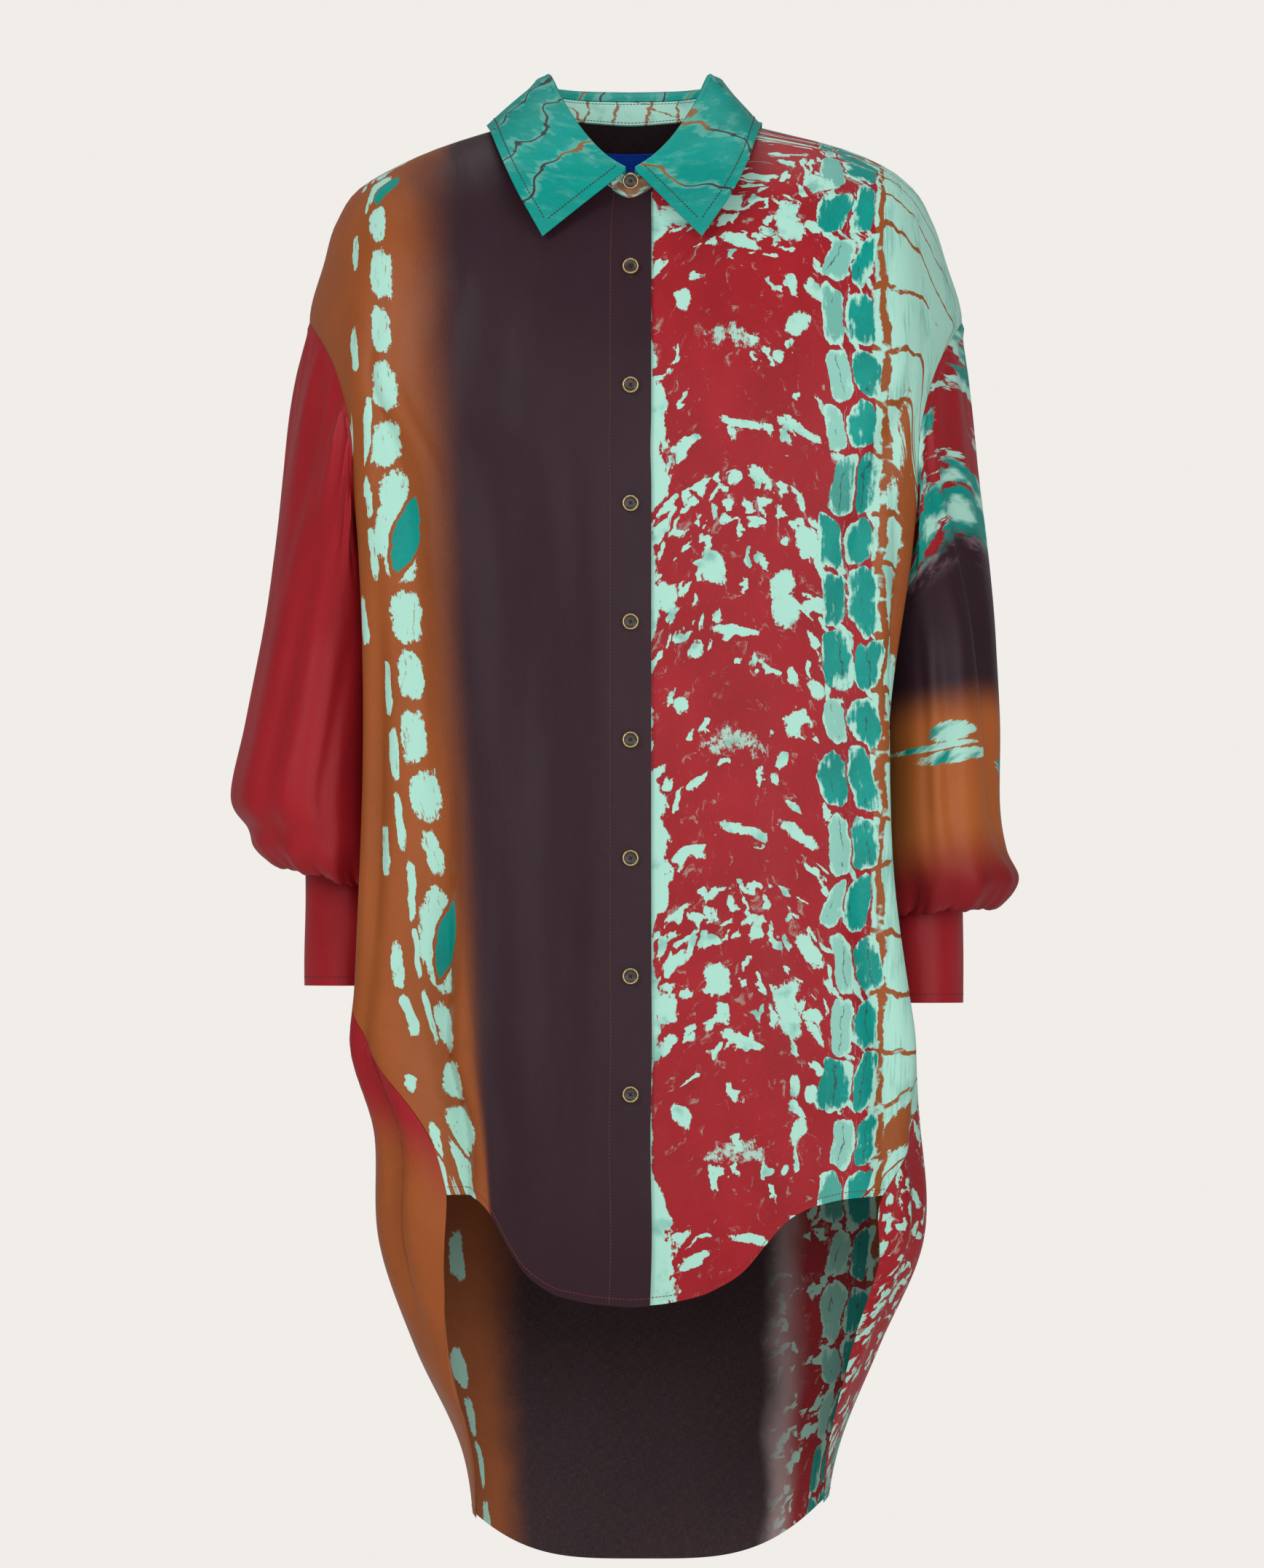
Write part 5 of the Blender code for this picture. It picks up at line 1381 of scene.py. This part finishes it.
def make_band(name, materials):
    reach = turns_across(PLACKET_HALF - 0.002, 0.0)
    ends = np.linspace(-reach, 0, 8)
    turn = np.concatenate([ends, collar_turns(), ROUND - ends[::-1]])
    foot, top = band_edges(turn)
    outer = np.array([mix(foot, top, share) for share in np.linspace(0, 1, BAND_ROWS + 1)])
    normals = -grid_normals(outer, False)
    across = arc_length(outer, 1)
    across = across - across[:, [across.shape[1] // 2]]
    up = arc_length(outer, 0)
    return lay(name, outer, normals, sizes().stiff_thickness, across, up, up, materials)


def make_collar(name, trunk_tree, materials):
    """The fall: up from the stand, over the roll and down to its edge."""
    turn = collar_turns()
    read, edge_x = collar_rows(turn)
    _, out = neck_frame(turn)
    foot, top = band_edges(turn)
    rise = unit(top - foot)
    lean = np.sum(rise * out, axis=1)[:, None]
    into = np.array((0, 0, 1)) * lean - out * rise[:, 2:]
    start = top + into * FALL_INSIDE + rise * FALL_GAP
    climb = ((read[:, 3] - start[:, 2]) / rise[:, 2])[:, None]
    crest = start + rise * climb + out * ROLL
    turned = start + rise * climb * FALL_TURN + out * 2 * ROLL
    edge = np.stack([edge_x, read[:, 6], read[:, 7]], axis=-1)
    knots = np.array([start, start + rise * climb * FALL_UP, crest, turned])
    roll = smooth_read(np.arange(4), knots, np.linspace(0, 3, ROLL_ROWS, endpoint=False))
    rows = list(roll)
    for share in np.linspace(0, 1, COLLAR_FALL_ROWS + 1):
        rows.append(mix(turned, edge, share) + out * FALL_BULGE * math.sin(math.pi * share))
    middle = np.array(rows)
    room = np.zeros(middle.shape[:2])
    room[ROLL_ROWS + 2:] = FALL_CLEAR
    middle = kept_clear(middle, trunk_tree, room)
    normals = grid_normals(middle, False)
    thickness = sizes().stiff_thickness
    across = arc_length(middle, 1)
    across = across - across[:, [across.shape[1] // 2]]
    return lay(name, middle + normals * thickness / 2, normals, thickness, across,
               arc_length(middle, 0), turn, materials)


LABEL_WIDTH, LABEL_TOP, LABEL_FOOT, LABEL_THICK = 0.055, 0.012, 0.0345, 0.0008
LABEL_LIE = 0.0011          # how far the label's face lies inside the trunk's surface


def make_label(name, materials):
    """A plain rectangle laid on the inside of the back, below the neck seam."""
    drops = np.linspace(LABEL_TOP, LABEL_FOOT, 13)
    across = np.linspace(-LABEL_WIDTH / 2, LABEL_WIDTH / 2, 41)
    turns = BACK - turns_across(across[None, :], drops[:, None])
    places = np.broadcast_to(drops[:, None], turns.shape)
    normals = outward(plain_trunk, turns, places)
    outer = plain_trunk(turns, places) - normals * LABEL_LIE
    return lay(name, outer - normals * LABEL_THICK, -normals, LABEL_THICK, across,
               arc_length(outer, 0), 0.0, materials)


# Buttons

BUTTON_RADIUS, BUTTON_HEIGHT = 0.00625, 0.003
BUTTON_COUNT = 8
# A turned button's section from the back's middle, as (radius, height) in shares
BUTTON_RIM = ((0.62, 0.0), (0.8, 0.0), (0.93, 0.14), (1.0, 0.4), (0.995, 0.62),
              (0.955, 0.88), (0.9, 0.99), (0.855, 1.0), (0.81, 0.95), (0.77, 0.8),
              (0.745, 0.6), (0.62, 0.52))
BUTTON_DISC = ((0.735, 0.4), (0.735, 0.63), (0.7, 0.71), (0.66, 0.67), (0.61, 0.61),
               (0.4, 0.59), (0.0, 0.58))
HOLE_AT, HOLE_RADIUS, HOLE_DEPTH = 0.0013, 0.00062, 0.0008
# The crossed thread: its radius, how far its strands lie aside, its arch, and its dive at the ends
STRAND_RADIUS, STRAND_ASIDE, STRAND_ARCH, STRAND_DIVE = 0.00026, 0.00022, 0.00025, 0.0009
STRAND_REACH, STRAND_BEND = 1.04, 0.8


def turned(maker, section, scale_to, sides=40):
    """Spins a section of (radius, height) shares round Z."""
    corners = [maker.verts.new((r * scale_to[0], 0, z * scale_to[1])) for r, z in section]
    edges = [maker.edges.new(pair) for pair in zip(corners, corners[1:])]
    bmesh.ops.spin(maker, geom=corners + edges, cent=(0, 0, 0), axis=(0, 0, 1),
                   angle=2 * math.pi, steps=sides, use_merge=True)
    bmesh.ops.remove_doubles(maker, verts=maker.verts, dist=1e-7)


def bored_disc(maker, radius, height, depth):
    """The button's middle with its holes cut through it."""
    def circle(x, y, r, sides):
        return [maker.verts.new((x + r * math.cos(a), y + r * math.sin(a), height))
                for a in round_angles(sides)]

    rings = [circle(0, 0, radius, 40)]
    for n in range(sizes().button_holes):
        angle = math.pi / 4 + n * 2 * math.pi / sizes().button_holes
        rings.append(circle(HOLE_AT * math.cos(angle), HOLE_AT * math.sin(angle),
                            HOLE_RADIUS, 14))
    edges = [maker.edges.new((a, b)) for ring in rings for a, b in zip(ring, ring[1:] + ring[:1])]
    bmesh.ops.triangle_fill(maker, use_beauty=True, edges=edges, normal=(0, 0, 1))
    for ring in rings[1:]:
        low = [maker.verts.new((*v.co.xy, height - depth)) for v in ring]
        for a, b, c, d in zip(ring, ring[1:] + ring[:1], low[1:] + low[:1], low):
            maker.faces.new((a, b, c, d))
        maker.faces.new(low)


def strand(maker, points, radius, sides=7):
    """A round thread along points."""
    rings = []
    for n, point in enumerate(points):
        along = Vector(points[min(n + 1, len(points) - 1)]) - Vector(points[max(n - 1, 0)])
        turn = along.to_track_quat("Z", "Y")
        rings.append([maker.verts.new(Vector(point) + turn @ Vector(
            (radius * math.cos(a), radius * math.sin(a), 0)))
            for a in round_angles(sides)])
    for first, second in zip(rings, rings[1:]):
        for a, b, c, d in zip(first, first[1:] + first[:1], second[1:] + second[:1], second):
            maker.faces.new((a, b, c, d))


def button_mesh(materials):
    """One button: brass rim, bored dark middle and crossed thread, as one mesh."""
    maker = bmesh.new()
    turned(maker, BUTTON_RIM, (BUTTON_RADIUS, BUTTON_HEIGHT))
    rim = len(maker.faces)
    turned(maker, BUTTON_DISC[:-1], (BUTTON_RADIUS, BUTTON_HEIGHT))
    flat = BUTTON_DISC[-2]
    floor = flat[1] * BUTTON_HEIGHT
    bored_disc(maker, flat[0] * BUTTON_RADIUS, floor, HOLE_DEPTH)
    bmesh.ops.remove_doubles(maker, verts=maker.verts, dist=1e-6)
    disc = len(maker.faces)
    reach = STRAND_REACH * HOLE_AT / math.sqrt(2)
    for n, way in enumerate((1, -1)):
        for aside in (-STRAND_ASIDE, STRAND_ASIDE):
            strand(maker, [
                (t * reach + aside * way, t * way * reach - aside,
                 floor + STRAND_ARCH * (1 - t**4) + STRAND_ASIDE * n
                 - STRAND_DIVE * max(abs(t) - STRAND_BEND, 0) / (1 - STRAND_BEND))
                for t in np.linspace(-1, 1, 13)], STRAND_RADIUS)
    bmesh.ops.recalc_face_normals(maker, faces=maker.faces)
    maker.faces.ensure_lookup_table()
    for n, face in enumerate(maker.faces):
        face.material_index = 0 if n < rim else 1 if n < disc else 2
        face.smooth = True
    mesh = bpy.data.meshes.new("button")
    maker.to_mesh(mesh)
    maker.free()
    mesh.set_sharp_from_angle(angle=BUTTON_SHARP_ANGLE)
    for surface in materials:
        mesh.materials.append(surface)
    return mesh


def node_middle(node):
    """The middle of a node's box."""
    low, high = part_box(node)
    return (low + high) / 2


BUTTONHOLE_LENGTH, BUTTONHOLE_WIDTH, BUTTONHOLE_SLIT = 0.0172, 0.0026, 0.0005
BUTTONHOLE_PITCH, BUTTONHOLE_END = 0.00042, 0.0012


def buttonhole_segments(line, height):
    """The bars of one upright buttonhole on a line down the front, at a height."""
    points, normals = line
    order = np.argsort(-points[:, 2])
    points, normals = points[order], normals[order]
    segments = []
    half = BUTTONHOLE_LENGTH / 2
    wide, slit = (np.array((width / 2, 0.0, 0.0)) for width in (BUTTONHOLE_WIDTH, BUTTONHOLE_SLIT))
    for z in np.arange(-half, half, BUTTONHOLE_PITCH):
        place, up = (np.array([np.interp(-height - z, -points[:, 2], source[:, n])
                               for n in range(3)]) for source in (points, normals))
        if half - abs(z) < BUTTONHOLE_END:
            segments.append((place - wide, place + wide, up))
        else:
            segments += [(place - wide, place - slit, up), (place + slit, place + wide, up)]
    return np.array(segments)


# The studio

BACKDROP = (0.88, 0.85, 0.82)
CAMERA_DISTANCE, FRAME_HEIGHT, SENSOR = 24.0, 1.1847, 36.0
SCALE_PLANE = 0.05           # how far before the middle the shirt shows at its true size
CAMERA_X, CAMERA_Z = 0.0011, -0.5044
FLOOR_Z, FLOOR_RADIUS = -1.35, 3.4


# Soft lights: name, place, what it points at, size and power
LIGHTS = (
    ("key", (-2.6, -3.2, 1.6), (0, 0, -0.5), (1.8, 2.4), 88),
    ("fill", (2.6, -3.6, 0.3), (0, 0, -0.5), (2.2, 2.4), 70),
    ("front", (0.25, -5.0, 0.1), (0, 0, -0.4), (1.2, 1.2), 38),
    ("top", (0.0, 0.6, 2.6), (0, 0, -0.3), (2.0, 2.0), 30),
)


def soft_light(name, place, target, size, power):
    data = bpy.data.lights.new(name, "AREA")
    data.shape = "RECTANGLE"
    data.size, data.size_y = size
    data.energy = power
    made = bpy.data.objects.new(name, data)
    bpy.context.scene.collection.objects.link(made)
    made.location = place
    made.rotation_euler = (Vector(target) - Vector(place)).to_track_quat("-Z", "Y").to_euler()


def make_camera():
    data = bpy.data.cameras.new("Camera")
    data.sensor_width = SENSOR
    data.lens = SENSOR * (CAMERA_DISTANCE - SCALE_PLANE) / FRAME_HEIGHT
    data.clip_start, data.clip_end = 0.1, 100
    made = bpy.data.objects.new("Camera", data)
    bpy.context.scene.collection.objects.link(made)
    made.location = (CAMERA_X, -CAMERA_DISTANCE, CAMERA_Z)
    made.rotation_euler = (math.pi / 2, 0, 0)
    bpy.context.scene.camera = made


def make_floor():
    maker = bmesh.new()
    bmesh.ops.create_circle(maker, cap_ends=True, radius=FLOOR_RADIUS, segments=96)
    mesh = bpy.data.meshes.new("floor")
    maker.to_mesh(mesh)
    maker.free()
    floor = link("floor", mesh, [clouded("pale floor", BACKDROP, 0.4, 0.03, Roughness=0.9)])
    floor.location.z = FLOOR_Z


def make_world():
    """A plain pale room: one brightness behind the shirt, another lighting it."""
    world = bpy.data.worlds.new("studio")
    world.use_nodes = True
    bpy.context.scene.world = world
    nodes, links = world.node_tree.nodes, world.node_tree.links
    seen = nodes["Background"]
    seen.inputs["Color"].default_value = (*BACKDROP, 1)
    seen.inputs["Strength"].default_value = 1.0
    lit = nodes.new("ShaderNodeBackground")
    lit.inputs["Color"].default_value = (1, 1, 1, 1)
    lit.inputs["Strength"].default_value = 0.28
    path = nodes.new("ShaderNodeLightPath")
    both = nodes.new("ShaderNodeMixShader")
    links.new(path.outputs["Is Camera Ray"], both.inputs[0])
    links.new(lit.outputs[0], both.inputs[1])
    links.new(seen.outputs[0], both.inputs[2])
    links.new(both.outputs[0], nodes["World Output"].inputs["Surface"])


# Operators, one for each piece or group of like pieces

TRUNK_TREE = tree_of(trunk(*np.meshgrid(np.linspace(0, ROUND, TREE_COLUMNS),
                                        np.linspace(0, DROPS[-1], TREE_ROWS)), FOLDS))


class SHIRT_OT_fronts(Operator):
    """Lay the two fronts, with their hems, placket and buttonholes sewn"""

    bl_idname = "shirt.fronts"
    bl_label = "Fronts"

    def execute(self, context):
        size = sizes()
        right, outer, normals = make_front("right_front_silk", RIGHT_SEAM, RIGHT_HEM, -1,
                                           both_sides("right front", right_front_print))
        placket = inset_line(outer, normals, size.placket_width, "start")
        hem = inset_line(outer, normals, size.hem_inset, "foot")
        middle = inset_line(outer, normals, PLACKET_HALF, "start")
        brown, red = thread("brown thread", (0.10, 0.035, 0.02)), thread(
            "red thread", (0.20, 0.012, 0.015))
        dark = thread("buttonhole thread", (0.020, 0.010, 0.013))
        sewing = [trim(stitches("right_front_placket_stitching", [placket], brown),
                       "right_front_silk"),
                  trim(stitches("right_front_hem_stitching", [hem], red), "right_front_silk"),
                  trim(threads("buttonholes", [
                      buttonhole_segments(middle, node_middle(f"button_{n + 1}").z)
                      for n in range(BUTTON_COUNT)], 0.0005, dark), "right_front_silk")]
        dress(right, "right_front")
        left, outer, normals = make_front("left_front_silk", LEFT_SEAM, LEFT_HEM, 1,
                                          both_sides("left front", left_front_print))
        hem = inset_line(outer, normals, size.hem_inset, "foot")
        sewing = [trim(stitches("left_front_hem_stitching", [hem], red), "left_front_silk")]
        dress(left, "left_front")
        return {"FINISHED"}


class SHIRT_OT_back(Operator):
    """Lay the long back, with its hem sewn"""

    bl_idname = "shirt.back"
    bl_label = "Back"

    def execute(self, context):
        back, outer, normals = make_back("back_silk", both_sides("back", back_print))
        hem = inset_line(outer, normals, sizes().hem_inset, "foot")
        sewing = [trim(stitches("back_hem_stitching", [hem], thread(
            "dark red thread", (0.16, 0.010, 0.013))), "back_silk")]
        dress(back, "back")
        return {"FINISHED"}


class SHIRT_OT_sleeves(Operator):
    """Lay the two full sleeves, gathered at the armhole and into the cuff"""

    bl_idname = "shirt.sleeves"
    bl_label = "Sleeves"

    def execute(self, context):
        for name, side, rings, folds, print_of in (
                ("right_sleeve", -1, RIGHT_SLEEVE, RIGHT_SLEEVE_FOLDS, plain_red),
                ("left_sleeve", 1, LEFT_SLEEVE, LEFT_SLEEVE_FOLDS, left_sleeve_print)):
            sleeve, _, _ = make_sleeve(f"{name}_silk", side, rings, folds, TRUNK_TREE,
                                       both_sides(name.replace("_", " "), print_of))
            dress(sleeve, name)
        return {"FINISHED"}


class SHIRT_OT_cuffs(Operator):
    """Lay the two deep cuffs, with their lower edges sewn"""

    bl_idname = "shirt.cuffs"
    bl_label = "Cuffs"

    def execute(self, context):
        surfaces = both_sides("cuff", plain_red)
        dark = thread("cuff thread", (0.10, 0.006, 0.008))
        for name, side, cuff in (("right_cuff", -1, RIGHT_CUFF), ("left_cuff", 1, LEFT_CUFF)):
            made, outer, normals = make_cuff(f"{name}_silk", side, cuff, surfaces)
            line = inset_line(outer, normals, 0.0065, "foot")
            closed = tuple(np.concatenate([part, part[:1]]) for part in line)
            sewing = trim(stitches(f"{name}_stitching", [closed], dark), "cuff_silk")
            dress(made, name)
        return {"FINISHED"}


class SHIRT_OT_collar(Operator):
    """Stand the collar band in the neck and turn the fall down over it"""

    bl_idname = "shirt.collar"
    bl_label = "Collar"

    def execute(self, context):
        band, outer, normals = make_band(
            "collar_band_silk",
            [silk("stand silk", stand_print), silk("stand inside", stand_print)])
        dark = thread("collar thread", (0.030, 0.012, 0.016))
        inside = outer - normals * sizes().stiff_thickness
        lines = [inset_line(inside, -normals, 0.0022, which) for which in ("top", "foot")]
        sewing = trim(stitches("collar_band_stitching", lines, dark), "stand_silk")
        dress(band, "collar_band")
        collar, outer, normals = make_collar(
            "collar_silk", TRUNK_TREE, [silk("collar silk", collar_print),
                                        silk("collar underside", collar_print)])
        inset = sizes().collar_inset
        edge = trimmed(inset_line(outer, normals, inset, "foot"), inset, inset)
        ends = [trimmed(inset_line(outer, normals, inset, which), 0.012, inset)
                for which in ("start", "end")]
        sewing = trim(stitches("collar_stitching", [edge, *ends], dark, 0.0009), "collar_silk")
        dress(collar, "collar")
        return {"FINISHED"}


class SHIRT_OT_label(Operator):
    """Lay the bare label inside the back of the neck"""

    bl_idname = "shirt.label"
    bl_label = "Label"

    def execute(self, context):
        label, face, normals = make_label(
            "neck_label_satin", [silk("label satin", label_weave)] * 2)
        edge = inset_line(face, normals, 0.0012, "top")
        sewing = trim(stitches("neck_label_stitching", [edge], thread(
            "label thread", (0.010, 0.020, 0.180))), "label_satin")
        dress(label, "neck_label")
        return {"FINISHED"}


class SHIRT_OT_buttons(Operator):
    """Sew on the nine buttons"""

    bl_idname = "shirt.buttons"
    bl_label = "Buttons"

    def execute(self, context):
        mesh = button_mesh([
            clouded("aged brass", colours().brass, 0.0012, 0.5, Metallic=0.7, Roughness=0.36),
            clouded("dark horn", colours().horn, 0.0020, 0.5, Roughness=0.4),
            thread("button thread", (0.015, 0.008, 0.010))])
        for n in range(BUTTON_COUNT + 1):
            node = f"button_{n}" if n else "button_collar"
            low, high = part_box(node)
            depth = high.y - low.y
            lean = 0.0 if node == "button_collar" else math.asin(min(1, max(
                0, (depth - BUTTON_HEIGHT) / (2 * BUTTON_RADIUS))))
            normal = Vector((0, -math.cos(lean), math.sin(lean)))
            made = bpy.data.objects.new(node + "_turned", mesh)
            context.scene.collection.objects.link(made)
            facing = normal.to_track_quat("Z", "Y").to_matrix() @ Matrix.Rotation(
                0.25 * math.sin(5 * n), 3, "Z")
            made.matrix_world = Matrix.Translation(
                node_middle(node) - normal * BUTTON_HEIGHT / 2) @ facing.to_4x4()
            trim(made, "button_brass", node)
        return {"FINISHED"}


class SHIRT_OT_studio(Operator):
    """Set the floor, the soft lights and the camera"""

    bl_idname = "shirt.studio"
    bl_label = "Studio"

    def execute(self, context):
        context.scene.view_settings.view_transform = "Standard"
        make_world()
        make_floor()
        for light in LIGHTS:
            soft_light(*light)
        make_camera()
        return {"FINISHED"}


OPERATORS = (SHIRT_OT_fronts, SHIRT_OT_back, SHIRT_OT_sleeves, SHIRT_OT_cuffs, SHIRT_OT_collar,
             SHIRT_OT_label, SHIRT_OT_buttons, SHIRT_OT_studio)


class SHIRT_PT_panel(Panel):
    """The shirt's pieces, colours and sizes"""

    bl_label = "Silk shirt"
    bl_idname = "SHIRT_PT_panel"
    bl_space_type = "VIEW_3D"
    bl_region_type = "UI"
    bl_category = "Silk shirt"

    def draw(self, context):
        column = self.layout.column()
        for group in (context.scene.shirt_colours, context.scene.shirt_sizes):
            for name in group.bl_rna.properties.keys():
                if name not in ("rna_type", "name"):
                    column.prop(group, name)
        for operator in OPERATORS:
            column.operator(operator.bl_idname)


CLASSES = (ShirtColours, ShirtSizes, *OPERATORS, SHIRT_PT_panel)


def register():
    for cls in CLASSES:
        bpy.utils.register_class(cls)
    bpy.types.Scene.shirt_colours = PointerProperty(type=ShirtColours)
    bpy.types.Scene.shirt_sizes = PointerProperty(type=ShirtSizes)


def unregister():
    del bpy.types.Scene.shirt_colours
    del bpy.types.Scene.shirt_sizes
    for cls in reversed(CLASSES):
        bpy.utils.unregister_class(cls)


def main():
    register()
    for operator in OPERATORS:
        group, name = operator.bl_idname.split(".")
        getattr(getattr(bpy.ops, group), name)()
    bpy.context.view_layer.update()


if __name__ == "__main__":
    main()
